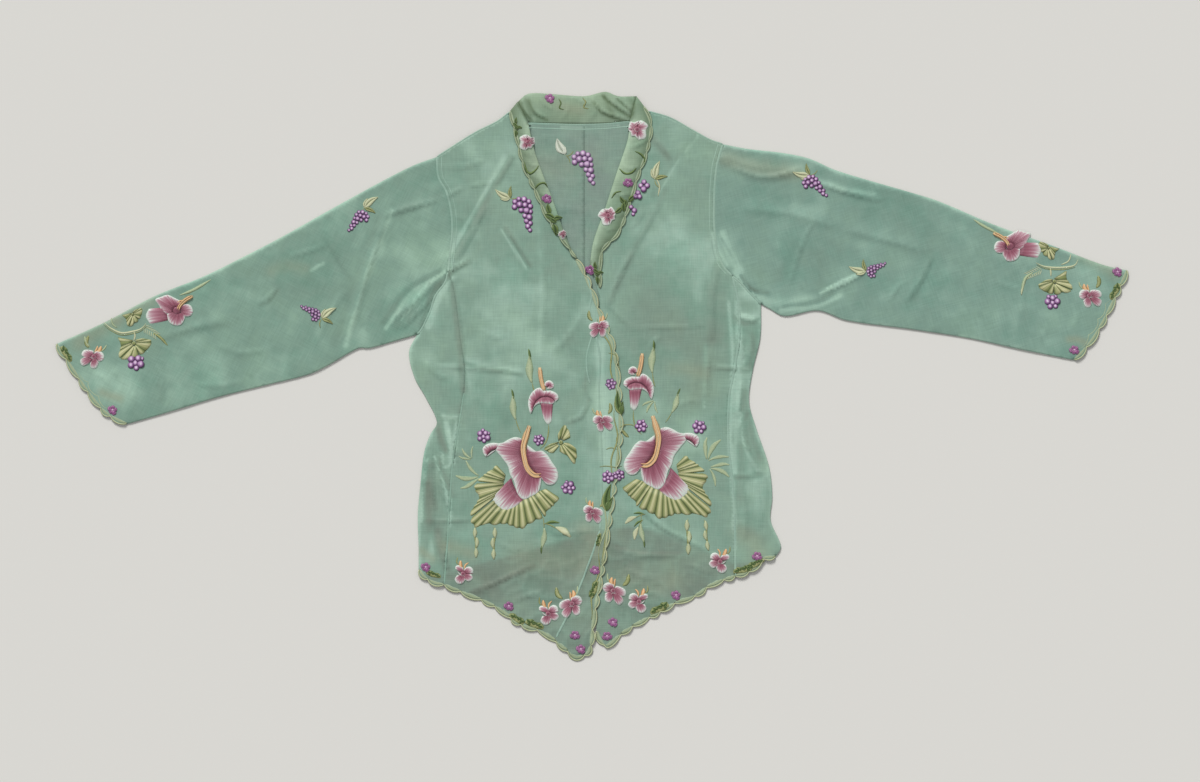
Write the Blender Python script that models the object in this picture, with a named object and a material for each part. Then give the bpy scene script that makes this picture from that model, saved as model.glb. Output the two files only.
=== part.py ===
"""A nyonya kebaya of sheer voile, laid flat: front, back and side panels, sleeves and a rolled collar."""

import math

import bmesh
import bpy
from mathutils import Vector, geometry

# Driving dimensions, in metres. X runs along the sleeves, Y from hem to collar, Z up from the floor.
MM = 0.001
CLOTH = 1.2 * MM
SEAM_GAP = 0.3 * MM
LAY_GAP = 0.4 * MM
FRONT_LAYER = CLOTH + SEAM_GAP
SETTLE_START = 3 * MM
SETTLE_LENGTH = 40 * MM
OVERLAP_RAMP = 25 * MM
NECK_TUCK = 1.5 * MM
SEWN_END = 1.5 * MM
OPEN_END = 7 * MM
SHARP_ANGLE = math.radians(40)

# The satin-stitched lobes along the front edge, the hem, the cuffs and the collar.
LOBE_PITCH = 21 * MM
LOBE_SHARES = (1.0, 1.3, 0.85, 1.15, 0.7)
LOBE_DEPTH = 4 * MM
LOBE_STEPS = 5
LOBE_LINE_STEP = 4 * MM
LOBE_ROUNDNESS = 0.7

# How closely the points of a panel lie.
SAME_CORNER = 0.6 * MM
EDGE_STEP = 24 * MM
PANEL_STEP = 26 * MM
FOLD_STEP = 14 * MM
FOLD_ROWS = (-0.95, -0.45, 0.0, 0.45, 0.95)
FOLD_LINE_STEP = 12 * MM
FOLD_FADE = 0.6
NEAREST_POINTS = 3 * MM
CLEAR_OF_EDGE = 0.42
CLEAR_OF_FOLD = 9 * MM

# The rolled band: how much thicker it is at the roll than at its free edge.
BAND_CROWN = 0.8 * MM
BAND_STEP = 14 * MM
COLLAR_CROWN = 1.6 * MM
COLLAR_THICKNESS = 3.2 * MM

# Edges of the pattern pieces, a row (x, y) in millimetres for each point that the shape needs.
# Left and right are the wearer's, so the right front lies on the side of negative x.
COLLAR_TOP = ((-93, 343), (-80, 353), (-50, 352.5), (-9, 350), (17, 355.5), (32, 350), (55, 350))
COLLAR_END_RIGHT = ((-93, 343), (-80, 317))
COLLAR_END_LEFT = ((47, 319), (55, 350))
NECK_SEAM = ((-80, 317), (-52, 316), (-18, 315), (17, 316), (47, 319))
CENTRE_BACK_X = -9.5
CENTRE_BACK_MIDDLE_Y = 60
CENTRE_BACK_TOP_Y = 314.7
BESIDE_SEAM = 2 * MM
HEM_CORNER = 4 * MM
NECK_CORNER_RIGHT = ((-82, 316), (-103, 330))
NECK_CORNER_LEFT = ((70, 331), (49, 318))
ROLL_RIGHT = ((-80, 317), (-72, 282), (-64, 259), (-49, 220), (-33, 175), (-20, 147))
ROLL_LEFT = ((47, 319), (44, 295), (30, 253), (16, 210), (1, 167), (-3, 141))
BAND_EDGE_RIGHT = ((-103, 331), (-95, 299), (-86, 263), (-70, 228), (-57, 199), (-40, 174), (-20, 147))
BAND_EDGE_LEFT = ((65, 337), (74, 314), (68, 278), (57, 248), (47, 215), (32, 177), (13, 156), (10, 110))
BAND_TUCK_LEFT = ((-3, 141), (2, 127), (10, 110))
SHOULDER_RIGHT = ((-103, 330), (-119, 318), (-145, 305), (-177, 285), (-194, 274))
SHOULDER_LEFT = ((70, 331), (97, 323), (126, 307), (148, 295), (163, 290))
ARMHOLE_RIGHT = ((-194, 274), (-192, 249), (-182, 230), (-176, 204), (-175, 179), (-178, 150), (-180, 130))
ARMHOLE_LEFT = ((163, 290), (155, 259), (152, 209), (153, 180), (157, 154), (164, 137), (175, 125))
UNDERARM_RIGHT = ((-180, 130), (-184, 117), (-195, 102), (-203, 80), (-213, 59), (-219, 52))
UNDERARM_LEFT = ((175, 125), (185, 117), (197, 104), (211, 90))
SLEEVE_TOP_RIGHT = (
    (-194, 274), (-222, 264), (-260, 245), (-324, 210), (-388, 174), (-440, 147), (-487, 124),
    (-547, 100), (-610, 67), (-670, 40),
)
SLEEVE_UNDER_RIGHT = (
    (-219, 52), (-250, 43), (-279, 35), (-292, 35), (-333, 12), (-355, 2), (-403, -10), (-467, -26),
    (-530, -45), (-582, -60),
)
CUFF_RIGHT = ((-670, 40), (-649, 8), (-628, -23), (-607, -47), (-582, -60))
SLEEVE_TOP_LEFT = (
    (163, 290), (195, 284), (238, 279), (271, 272), (303, 258), (345, 245), (397, 230), (432, 219),
    (503, 189), (573, 164), (636, 140), (669, 132),
)
SLEEVE_UNDER_LEFT = (
    (211, 90), (222, 84), (240, 75), (282, 82), (317, 70), (397, 59), (468, 48), (538, 33), (603, 20),
)
CUFF_LEFT = ((669, 132), (653, 97), (638, 67), (622, 41), (603, 20))
PRINCESS_RIGHT = (
    (-180, 130), (-172, 105), (-164, 43), (-159, 10), (-160, -20), (-165, -52), (-174, -108),
    (-178, -158), (-181, -210), (-185, -261),
)
PRINCESS_LEFT = (
    (175, 125), (182, 95), (184, 59), (178, 10), (171, -27), (170, -80), (175, -130), (178, -180),
    (179, -250),
)
SIDE_RIGHT = (
    (-219, 52), (-229, 30), (-222, -2), (-208, -27), (-194, -58), (-202, -72), (-210, -95),
    (-215, -138), (-218, -173), (-217, -216), (-217, -242),
)
SIDE_LEFT = (
    (211, 90), (210, 48), (201, 9), (196, -31), (205, -65), (221, -113), (225, -150), (223, -180),
    (236, -213), (229, -226),
)
CENTRE_FRONT_RIGHT = (
    (-20, 147), (-5, 118), (11, 75), (26, 38), (33, -15), (35, -72), (29, -125), (18, -205),
    (11, -250), (2, -305), (-1, -337),
)
CENTRE_FRONT_LEFT = ((9, 100), (10, 24), (9, -21), (12, -101), (12, -150), (10, -200), (7, -262), (5, -318))
HEM_RIGHT = (
    (-1, -337), (-6, -347), (-20, -352), (-37, -339), (-61, -321), (-93, -309), (-114, -293),
    (-136, -281), (-159, -272), (-185, -261),
)
HEM_SIDE_RIGHT = ((-185, -261), (-201, -257), (-211, -250), (-217, -242))
HEM_LEFT = (
    (5, -318), (10, -331), (18, -338), (29, -329), (49, -314), (77, -299), (106, -283), (129, -275),
    (149, -261), (179, -250),
)
HEM_SIDE_LEFT = ((179, -250), (199, -243), (215, -228), (229, -226))
BACK_HEM = (
    (-183.5, -246), (-140, -232), (-90, -219), (-40, -204), (-9.5, -196), (30, -188), (60, -187),
    (105, -202), (140, -218), (178, -232),
)

# Soft folds of the upper layer: where each starts, bends and ends, its width and its rise, in
# millimetres, on the wearer's right half and then on the left.
FOLDS_RIGHT = (
    # x0, y0, x1, y1, x2, y2, width, rise
    (-104, 270, -137, 205, -170, 150, 26, 3.0),
    (-109, 185, -92, 162, -78, 138, 20, 2.0),
    (-190, 122, -168, 135, -150, 146, 16, 2.4),
    (-158, 15, -125, 8, -89, 2, 18, 2.0),
    (-209, -181, -180, -181, -152, -180, 14, 1.8),
    (-155, -270, -104, -252, -62, -235, 20, 3.6),
    (-42, -320, -15, -262, -2, -205, 16, 2.4),
    (-198, -96, -193, -125, -180, -160, 16, 2.6),
    (-193, -193, -189, -218, -181, -246, 16, 2.6),
    (-191, -66, -182, -85, -174, -112, 14, 2.6),
    (-172, 112, -168, 60, -164, -40, 14, 2.6),
    (-254, 206, -276, 138, -312, 36, 34, 5.0),
    (-262, 196, -226, 212, -193, 228, 22, 2.8),
    (-246, 58, -214, 88, -192, 116, 20, 3.0),
    (-336, 176, -318, 148, -300, 120, 22, 2.0),
    (-418, 130, -398, 80, -392, 20, 30, 1.8),
    (-520, 84, -502, 40, -500, -14, 26, 1.6),
)
FOLDS_LEFT = (
    # x0, y0, x1, y1, x2, y2, width, rise
    (26, 96, 54, 160, 92, 234, 24, 3.0),
    (80, 296, 88, 286, 98, 272, 14, 2.0),
    (158, 138, 149, 104, 150, 45, 24, 2.8),
    (143, 10, 170, 10, 198, 8, 14, 2.2),
    (144, 4, 142, -12, 140, -30, 14, 1.6),
    (186, 72, 198, 62, 208, 72, 16, 3.0),
    (194, -44, 187, -64, 208, -121, 16, 2.8),
    (181, -127, 196, -123, 214, -123, 14, 2.0),
    (166, 266, 218, 246, 262, 250, 28, 3.6),
    (276, 246, 312, 236, 354, 226, 24, 3.0),
    (284, 102, 312, 120, 344, 134, 26, 3.0),
    (424, 156, 411, 124, 400, 94, 24, 2.6),
    (470, 178, 484, 130, 482, 74, 28, 1.6),
)

CLOTH_ROUGHNESS = 0.72
BAND_ROUGHNESS = 0.6
FRONT_COLOUR = (0.245, 0.385, 0.305)
SIDE_COLOUR = (0.225, 0.36, 0.285)
BACK_COLOUR = (0.175, 0.235, 0.195)
SLEEVE_COLOUR = (0.215, 0.36, 0.28)
BAND_COLOUR = (0.33, 0.41, 0.3)


def clear_scene():
    for old in list(bpy.data.objects):
        bpy.data.objects.remove(old, do_unlink=True)


def new_collection(name):
    made = bpy.data.collections.new(name)
    bpy.context.scene.collection.children.link(made)
    return made


def cloth_material(name, colour, roughness):
    made = bpy.data.materials.new(name)
    made.use_nodes = True
    shader = made.node_tree.nodes["Principled BSDF"]
    shader.inputs["Base Color"].default_value = (*colour, 1.0)
    shader.inputs["Roughness"].default_value = roughness
    shader.inputs["Metallic"].default_value = 0.0
    return made


def smooth_line(rows, step):
    """Points about step apart on a smooth curve through the rows, which are in millimetres."""
    knots = [Vector(row) * MM for row in rows]
    line = [knots[0]]
    for index in range(len(knots) - 1):
        here, there = knots[index], knots[index + 1]
        before = knots[max(index - 1, 0)]
        after = knots[min(index + 2, len(knots) - 1)]
        span = (there - here).length
        leave = (there - before) * (span / max((here - before).length + span, 1e-9))
        arrive = (after - here) * (span / max((after - there).length + span, 1e-9))
        count = max(1, round(span / step))
        for number in range(1, count + 1):
            t = number / count
            line.append(
                here * (1 + t * t * (2 * t - 3))
                + leave * (t * (1 - t) ** 2)
                + there * (t * t * (3 - 2 * t))
                + arrive * (t * t * (t - 1))
            )
    return line


def line_points(line, marks):
    """Points on the line at marks, which are rising shares of its length."""
    lengths = [0.0]
    for start, end in zip(line, line[1:]):
        lengths.append(lengths[-1] + (end - start).length)
    points = []
    segment = 0
    for mark in marks:
        target = lengths[-1] * mark
        while segment < len(line) - 2 and lengths[segment + 1] < target:
            segment += 1
        share = (target - lengths[segment]) / max(lengths[segment + 1] - lengths[segment], 1e-9)
        points.append(line[segment].lerp(line[segment + 1], min(max(share, 0.0), 1.0)))
    return points


def even_line(line, count):
    """The same line as count equal steps along its length."""
    return line_points(line, [number / count for number in range(count + 1)])


def side_steps(line, distance):
    """The line moved sideways, to its right for a positive distance."""
    moved = []
    for index, point in enumerate(line):
        ahead = line[min(index + 1, len(line) - 1)] - line[max(index - 1, 0)]
        ahead.normalize()
        moved.append(point + Vector((ahead.y, -ahead.x)) * distance)
    return moved


def plain_edge(rows, step=EDGE_STEP, inset=0.0):
    return side_steps(smooth_line(rows, step), -inset)


def lobe_marks(lobes):
    """Where the points of so many lobes lie, as shares of the edge: no two lobes in a row are as wide."""
    widths = [LOBE_SHARES[number % len(LOBE_SHARES)] for number in range(lobes)]
    marks = [0.0]
    for width in widths:
        start = marks[-1]
        marks += [start + width * step / LOBE_STEPS for step in range(1, LOBE_STEPS + 1)]
    return [mark / marks[-1] for mark in marks]


def lobed_edge(rows, inset=0.0):
    """A scalloped edge: round lobes that stand out to the right of the line of travel."""
    line = side_steps(smooth_line(rows, LOBE_LINE_STEP), -inset)
    length = sum((end - start).length for start, end in zip(line, line[1:]))
    lobes = max(1, round(length / LOBE_PITCH))
    points = line_points(line, lobe_marks(lobes))
    outer = side_steps(points, LOBE_DEPTH)
    edge = []
    for number, point in enumerate(points):
        swell = math.sin(math.pi * (number % LOBE_STEPS) / LOBE_STEPS) ** LOBE_ROUNDNESS
        edge.append(point.lerp(outer[number], swell))
    return edge


def closed_outline(*edges):
    """One anticlockwise loop from edges that follow each other, each shared corner taken once."""
    loop = []
    for edge in edges:
        for point in edge:
            if not loop or (point - loop[-1]).length > SAME_CORNER:
                loop.append(point)
    while (loop[0] - loop[-1]).length < SAME_CORNER:
        loop.pop()
    return loop


def is_inside(point, loop):
    inside = False
    for start, end in zip(loop, loop[1:] + loop[:1]):
        if (start.y > point.y) != (end.y > point.y):
            crossing = start.x + (point.y - start.y) * (end.x - start.x) / (end.y - start.y)
            if point.x < crossing:
                inside = not inside
    return inside


def nearest_distance(point, line):
    best = 1e9
    for start, end in zip(line, line[1:]):
        along = end - start
        share = (point - start).dot(along) / max(along.length_squared, 1e-12)
        best = min(best, (start + along * min(max(share, 0.0), 1.0) - point).length)
    return best


def fold_lines(rows):
    """For each fold its middle line, half width and rise."""
    folds = []
    for x0, y0, x1, y1, x2, y2, width, rise in rows:
        line = smooth_line(((x0, y0), (x1, y1), (x2, y2)), FOLD_LINE_STEP)
        folds.append((line, width * MM / 2, rise * MM))
    return folds


def fold_height(point, folds):
    """How far the folds lift the cloth at a point: each is highest at its middle and fades at its ends."""
    height = 0.0
    for line, half_width, rise in folds:
        length = sum((end - start).length for start, end in zip(line, line[1:]))
        walked = 0.0
        near, place = 1e9, 0.0
        for start, end in zip(line, line[1:]):
            along = end - start
            share = min(max((point - start).dot(along) / along.length_squared, 0.0), 1.0)
            distance = (start + along * share - point).length
            if distance < near:
                near, place = distance, walked + along.length * share
            walked += along.length
        if near < half_width:
            fade = math.sin(math.pi * min(max(place / length, 0.0), 1.0)) ** FOLD_FADE
            height = max(height, rise * fade * 0.5 * (1 + math.cos(math.pi * near / half_width)))
    return height


def panel_points(loop, folds, step, ramp_rows=()):
    """Points inside an outline: rows along its folds and ramps, and an even grid elsewhere."""
    rows = list(ramp_rows)
    for line, half_width, _ in folds:
        length = sum((end - start).length for start, end in zip(line, line[1:]))
        middle = even_line(line, max(2, round(length / FOLD_STEP)))
        rows += [side_steps(middle, offset * half_width) for offset in FOLD_ROWS]
    kept = []
    for point in (point for row in rows for point in row):
        if is_inside(point, loop) and nearest_distance(point, loop + loop[:1]) > NEAREST_POINTS:
            if all((point - other).length > NEAREST_POINTS for other in kept):
                kept.append(point)
    along_folds = list(kept)
    low_x, high_x = min(p.x for p in loop), max(p.x for p in loop)
    low_y, high_y = min(p.y for p in loop), max(p.y for p in loop)
    row_step = step * math.sqrt(3) / 2
    for row in range(int((high_y - low_y) / row_step) + 1):
        for column in range(int((high_x - low_x) / step) + 1):
            x = low_x + (column + 0.5 * (row % 2) + 0.25) * step
            point = Vector((x, low_y + (row + 0.5) * row_step))
            if not is_inside(point, loop) or nearest_distance(point, loop + loop[:1]) < CLEAR_OF_EDGE * step:
                continue
            if all((point - other).length > CLEAR_OF_FOLD for other in along_folds):
                kept.append(point)
    return kept


def wall(name, loop, inner, floor_height, thickness):
    """A sheet cut to an outline, extruded to a wall and lifted onto what lies beneath it."""
    border = list(range(len(loop)))
    verts, _, faces, _, _, _ = geometry.delaunay_2d_cdt(loop + inner, [], [border], 1, 1e-7)
    shape = bmesh.new()
    corners = [shape.verts.new((vert.x, vert.y, 0.0)) for vert in verts]
    for face in faces:
        shape.faces.new([corners[index] for index in face])
    loose = [vert for vert in shape.verts if not vert.link_faces]
    bmesh.ops.delete(shape, geom=loose, context="VERTS")
    raised = bmesh.ops.extrude_face_region(shape, geom=list(shape.faces))
    upper = {item for item in raised["geom"] if isinstance(item, bmesh.types.BMVert)}
    for vert in shape.verts:
        place = Vector((vert.co.x, vert.co.y))
        vert.co.z = floor_height(place) + (thickness(place) if vert in upper else 0.0)
    bmesh.ops.recalc_face_normals(shape, faces=list(shape.faces))
    mesh = bpy.data.meshes.new(name)
    shape.to_mesh(mesh)
    shape.free()
    return bpy.data.objects.new(name, mesh)


def finish(panel, collection, material):
    panel.data.materials.append(material)
    panel.data.shade_smooth()
    panel.data.set_sharp_from_angle(angle=SHARP_ANGLE)
    collection.objects.link(panel)
    return panel


def open_between_leaves(panel, cutter, cutters):
    """Cuts the thin space between the two leaves of a folded piece."""
    cutters.objects.link(cutter)
    cutter.hide_render = True
    cutter.display_type = "WIRE"
    cut = panel.modifiers.new("space between the leaves", "BOOLEAN")
    cut.operation = "DIFFERENCE"
    cut.solver = "EXACT"
    cut.object = cutter


def on_floor(place):
    return 0.0


def one_cloth(place):
    return CLOTH


class Layers:
    """Heights of the layers at a point of the floor, from the back panels up to the collar band."""

    def __init__(self):
        self.back_hem = smooth_line(BACK_HEM, EDGE_STEP)
        self.folds_right = fold_lines(FOLDS_RIGHT)
        self.folds_left = fold_lines(FOLDS_LEFT)
        self.front_left_loop = front_left_outline()

    def on_back(self, place):
        """1 on the back panels, falling to 0 below their hem, where the fronts reach the floor."""
        if place.y > min(point.y for point in self.back_hem) - SETTLE_START and place.y > BACK_HEM[4][1] * MM:
            return 1.0
        hem_y = self.back_hem[0].y if place.x < 0 else self.back_hem[-1].y
        for start, end in zip(self.back_hem, self.back_hem[1:]):
            if start.x <= place.x <= end.x:
                hem_y = start.y + (end.y - start.y) * (place.x - start.x) / (end.x - start.x)
        below = hem_y - place.y - SETTLE_START
        return 1.0 - min(max(below / SETTLE_LENGTH, 0.0), 1.0)

    def on_left_front(self, place):
        """1 where the right front lies on the left front, falling to 0 beside it."""
        if is_inside(place, self.front_left_loop):
            return 1.0
        beside = nearest_distance(place, self.front_left_loop + self.front_left_loop[:1]) - SETTLE_START
        return 1.0 - min(max(beside / OVERLAP_RAMP, 0.0), 1.0)

    def hem_ramp(self):
        """Rows of points where the fronts leave the back panels and where they reach the floor."""
        line = smooth_line(BACK_HEM, FOLD_STEP)
        return [side_steps(line, SETTLE_START), side_steps(line, SETTLE_START + SETTLE_LENGTH)]

    def overlap_ramp(self):
        """Rows of points where the right front climbs onto the left one."""
        line = smooth_line(CENTRE_FRONT_LEFT, FOLD_STEP)
        offsets = (-1 * MM, SETTLE_START, SETTLE_START + OVERLAP_RAMP)
        return [side_steps(line, offset) for offset in offsets]

    def fold_right(self, place):
        return fold_height(place, self.folds_right)

    def fold_left(self, place):
        return fold_height(place, self.folds_left)

    def front_left(self, place):
        return FRONT_LAYER * self.on_back(place) + self.fold_left(place)

    def front_right(self, place):
        lifted = (CLOTH + LAY_GAP) * self.on_left_front(place)
        return FRONT_LAYER * self.on_back(place) + lifted + self.fold_right(place)

    def band_right(self, place):
        return self.front_right(place) + CLOTH + LAY_GAP

    def band_left(self, place):
        return self.front_left(place) + CLOTH + LAY_GAP

    def double_right(self, place):
        return FRONT_LAYER + CLOTH + self.fold_right(place)

    def double_left(self, place):
        return FRONT_LAYER + CLOTH + self.fold_left(place)

    def space_right(self, place):
        return SEAM_GAP + self.fold_right(place)

    def space_left(self, place):
        return SEAM_GAP + self.fold_left(place)


def band_thickness(roll, free_edge, crown):
    """A folded band is thickest at its roll and thins to its free edge."""
    def thickness(place):
        from_roll = nearest_distance(place, roll)
        from_edge = nearest_distance(place, free_edge)
        share = from_edge / max(from_roll + from_edge, 1e-6)
        return CLOTH + crown * math.sin(0.5 * math.pi * min(share, 1.0))
    return thickness


def collar_thickness(place):
    """The back of the collar, rolled over along its top."""
    across = (place.y - NECK_SEAM[0][1] * MM) / ((COLLAR_TOP[1][1] - NECK_SEAM[0][1]) * MM)
    return COLLAR_THICKNESS + COLLAR_CROWN * math.sin(math.pi * min(max(across, 0.0), 1.0))


def beside_centre_back(line, side):
    """The part of a line on one side of the centre back seam: -1 is the wearer's right, 1 the left."""
    return [point for point in line if side * (point.x - CENTRE_BACK_X * MM) > BESIDE_SEAM]


def back_outline(side):
    """One back panel, from the centre back seam to the side seam."""
    seam_x = CENTRE_BACK_X * MM + side * SEAM_GAP / 2
    seam = [Vector((seam_x, y * MM)) for y in (BACK_HEM[4][1], CENTRE_BACK_MIDDLE_Y, CENTRE_BACK_TOP_Y)]
    neck = plain_edge(NECK_SEAM[::-1], EDGE_STEP, SEAM_GAP / 2)
    hem = smooth_line(BACK_HEM, EDGE_STEP)
    if side < 0:
        sewn = plain_edge(PRINCESS_RIGHT, EDGE_STEP, SEAM_GAP / 2)
        return closed_outline(
            seam,
            beside_centre_back(neck, side),
            plain_edge(NECK_CORNER_RIGHT),
            plain_edge(SHOULDER_RIGHT),
            plain_edge(ARMHOLE_RIGHT, EDGE_STEP, SEAM_GAP / 2),
            [point for point in sewn if point.y > BACK_HEM[0][1] * MM + HEM_CORNER],
            beside_centre_back(hem, side),
        )
    sewn = plain_edge(PRINCESS_LEFT[::-1], EDGE_STEP, SEAM_GAP / 2)
    return closed_outline(
        beside_centre_back(hem, side),
        [point for point in sewn if point.y > BACK_HEM[-1][1] * MM + HEM_CORNER],
        plain_edge(ARMHOLE_LEFT[::-1], EDGE_STEP, SEAM_GAP / 2),
        plain_edge(SHOULDER_LEFT[::-1]),
        plain_edge(NECK_CORNER_LEFT),
        beside_centre_back(neck, side),
        seam[::-1],
    )


def front_right_outline():
    return closed_outline(
        plain_edge(ROLL_RIGHT[::-1], EDGE_STEP, NECK_TUCK),
        plain_edge(SHOULDER_RIGHT),
        plain_edge(ARMHOLE_RIGHT, EDGE_STEP, SEAM_GAP / 2),
        plain_edge(PRINCESS_RIGHT, EDGE_STEP, SEAM_GAP / 2),
        lobed_edge(HEM_RIGHT[::-1]),
        lobed_edge(CENTRE_FRONT_RIGHT[::-1]),
    )


def front_left_outline():
    return closed_outline(
        plain_edge(ROLL_LEFT, EDGE_STEP, NECK_TUCK),
        plain_edge(CENTRE_FRONT_LEFT),
        lobed_edge(HEM_LEFT),
        plain_edge(PRINCESS_LEFT[::-1], EDGE_STEP, SEAM_GAP / 2),
        plain_edge(ARMHOLE_LEFT[::-1], EDGE_STEP, SEAM_GAP / 2),
        plain_edge(SHOULDER_LEFT[::-1]),
    )


def side_right_outline(folded, sewn, lobes):
    """A side panel that is folded at the side and sewn to the front, the back and the sleeve."""
    hem = HEM_SIDE_RIGHT[::-1]
    hem = lobed_edge(hem) if lobes else plain_edge(hem, EDGE_STEP, -OPEN_END)
    return closed_outline(
        plain_edge(UNDERARM_RIGHT, EDGE_STEP, sewn),
        plain_edge(SIDE_RIGHT, EDGE_STEP, folded),
        hem,
        plain_edge(PRINCESS_RIGHT[::-1], EDGE_STEP, sewn),
    )


def side_left_outline(folded, sewn, lobes):
    hem = lobed_edge(HEM_SIDE_LEFT) if lobes else plain_edge(HEM_SIDE_LEFT, EDGE_STEP, -OPEN_END)
    return closed_outline(
        plain_edge(PRINCESS_LEFT, EDGE_STEP, sewn),
        hem,
        plain_edge(SIDE_LEFT[::-1], EDGE_STEP, folded),
        plain_edge(UNDERARM_LEFT[::-1], EDGE_STEP, sewn),
    )


def sleeve_right_outline(folded, sewn, lobes):
    """A sleeve pressed flat: closed along its upper and lower edges, open at cuff and armhole."""
    cuff = lobed_edge(CUFF_RIGHT) if lobes else plain_edge(CUFF_RIGHT, EDGE_STEP, -OPEN_END)[1:-1]
    return closed_outline(
        plain_edge(SLEEVE_TOP_RIGHT, EDGE_STEP, folded),
        cuff,
        plain_edge(SLEEVE_UNDER_RIGHT[::-1], EDGE_STEP, folded),
        plain_edge(UNDERARM_RIGHT[::-1], EDGE_STEP, sewn),
        plain_edge(ARMHOLE_RIGHT[::-1], EDGE_STEP, sewn),
    )


def sleeve_left_outline(folded, sewn, lobes):
    cuff = CUFF_LEFT[::-1]
    cuff = lobed_edge(cuff) if lobes else plain_edge(cuff, EDGE_STEP, -OPEN_END)[1:-1]
    return closed_outline(
        plain_edge(SLEEVE_UNDER_LEFT, EDGE_STEP, folded),
        cuff,
        plain_edge(SLEEVE_TOP_LEFT[::-1], EDGE_STEP, folded),
        plain_edge(ARMHOLE_LEFT, EDGE_STEP, sewn),
        plain_edge(UNDERARM_LEFT, EDGE_STEP, sewn),
    )


def single_panel(name, loop, folds, floor_height, collection, material, ramp_rows=()):
    inner = panel_points(loop, folds, PANEL_STEP, ramp_rows)
    return finish(wall(name, loop, inner, floor_height, one_cloth), collection, material)


def folded_panel(name, outline, folds, height, space, collection, cutters, material):
    """Two leaves of cloth on each other, joined where the piece is folded."""
    loop = outline(0.0, SEAM_GAP / 2, True)
    outer = panel_points(loop, folds, PANEL_STEP)
    panel = finish(wall(name, loop, outer, on_floor, height), collection, material)
    inner_loop = outline(CLOTH, -SEWN_END, False)
    inner = panel_points(inner_loop, folds, PANEL_STEP)
    open_between_leaves(panel, wall(name + "_space", inner_loop, inner, one_cloth, space), cutters)
    return panel


def band(name, loop, roll, free_edge, floor_height, collection, material):
    inner = panel_points(loop, [], BAND_STEP)
    thickness = band_thickness(roll, free_edge, BAND_CROWN)
    return finish(wall(name, loop, inner, floor_height, thickness), collection, material)


def build():
    clear_scene()
    kebaya = new_collection("nyonya_kebaya")
    cutters = new_collection("cutters")
    layers = Layers()

    # Back: two panels that meet at the centre back seam and lie on the floor.
    back_material = cloth_material("back voile", BACK_COLOUR, CLOTH_ROUGHNESS)
    single_panel("back_right", back_outline(-1), [], on_floor, kebaya, back_material)
    single_panel("back_left", back_outline(1), [], on_floor, kebaya, back_material)

    # Fronts: the right one lies on the left one below the crossing.
    front_material = cloth_material("front voile", FRONT_COLOUR, CLOTH_ROUGHNESS)
    single_panel(
        "front_left", front_left_outline(), layers.folds_left, layers.front_left, kebaya, front_material,
        layers.hem_ramp(),
    )
    single_panel(
        "front_right", front_right_outline(), layers.folds_right, layers.front_right, kebaya,
        front_material, layers.hem_ramp() + layers.overlap_ramp(),
    )

    # Side panels and sleeves: folded double, with a thin space between the leaves.
    side_material = cloth_material("side voile", SIDE_COLOUR, CLOTH_ROUGHNESS)
    sleeve_material = cloth_material("sleeve voile", SLEEVE_COLOUR, CLOTH_ROUGHNESS)
    right = (layers.folds_right, layers.double_right, layers.space_right, kebaya, cutters)
    left = (layers.folds_left, layers.double_left, layers.space_left, kebaya, cutters)
    folded_panel("side_right", side_right_outline, *right, side_material)
    folded_panel("side_left", side_left_outline, *left, side_material)
    folded_panel("sleeve_right", sleeve_right_outline, *right, sleeve_material)
    folded_panel("sleeve_left", sleeve_left_outline, *left, sleeve_material)

    # Collar: a band rolled outwards round the back of the neck and down both fronts.
    band_material = cloth_material("band voile", BAND_COLOUR, BAND_ROUGHNESS)
    roll_right = plain_edge(ROLL_RIGHT[::-1], BAND_STEP)
    roll_left = plain_edge(ROLL_LEFT, BAND_STEP)
    end_right = plain_edge(COLLAR_END_RIGHT[::-1], BAND_STEP, SEAM_GAP / 2)
    end_left = plain_edge(COLLAR_END_LEFT[::-1], BAND_STEP, SEAM_GAP / 2)
    edge_right = lobed_edge(BAND_EDGE_RIGHT)
    edge_left = lobed_edge(BAND_EDGE_LEFT[::-1])
    band(
        "lapel_right", closed_outline(roll_right, end_right, edge_right), roll_right, edge_right,
        layers.band_right, kebaya, band_material,
    )
    tuck = plain_edge(BAND_TUCK_LEFT, BAND_STEP)
    band(
        "lapel_left", closed_outline(end_left, roll_left, tuck, edge_left), roll_left, edge_left,
        layers.band_left, kebaya, band_material,
    )
    collar_loop = closed_outline(
        plain_edge(COLLAR_TOP[::-1], BAND_STEP),
        plain_edge(COLLAR_END_RIGHT, BAND_STEP, SEAM_GAP / 2),
        plain_edge(NECK_SEAM, EDGE_STEP, SEAM_GAP / 2),
        plain_edge(COLLAR_END_LEFT, BAND_STEP, SEAM_GAP / 2),
    )
    collar_points = panel_points(collar_loop, [], BAND_STEP)
    collar = wall("collar_back", collar_loop, collar_points, on_floor, collar_thickness)
    finish(collar, kebaya, band_material)


if __name__ == "__main__":
    build()
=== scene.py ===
# %% [markdown]
# # A nyonya kebaya of sheer voile, laid flat
# The real blouse is cut from very thin cotton, rolled open at the neck into a narrow collar band,
# and worked all over with machine embroidery in rayon thread. It lies flat with its right front on
# its left one. The solids give its true outline and layers, so each sheet of cloth here is cut to
# the same pattern, laid at the same height and given the fine folds that a thin cloth keeps.

# %% Load the frame
import math

import bpy
import numpy as np
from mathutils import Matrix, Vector, geometry
from mathutils.bvhtree import BVHTree


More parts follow.
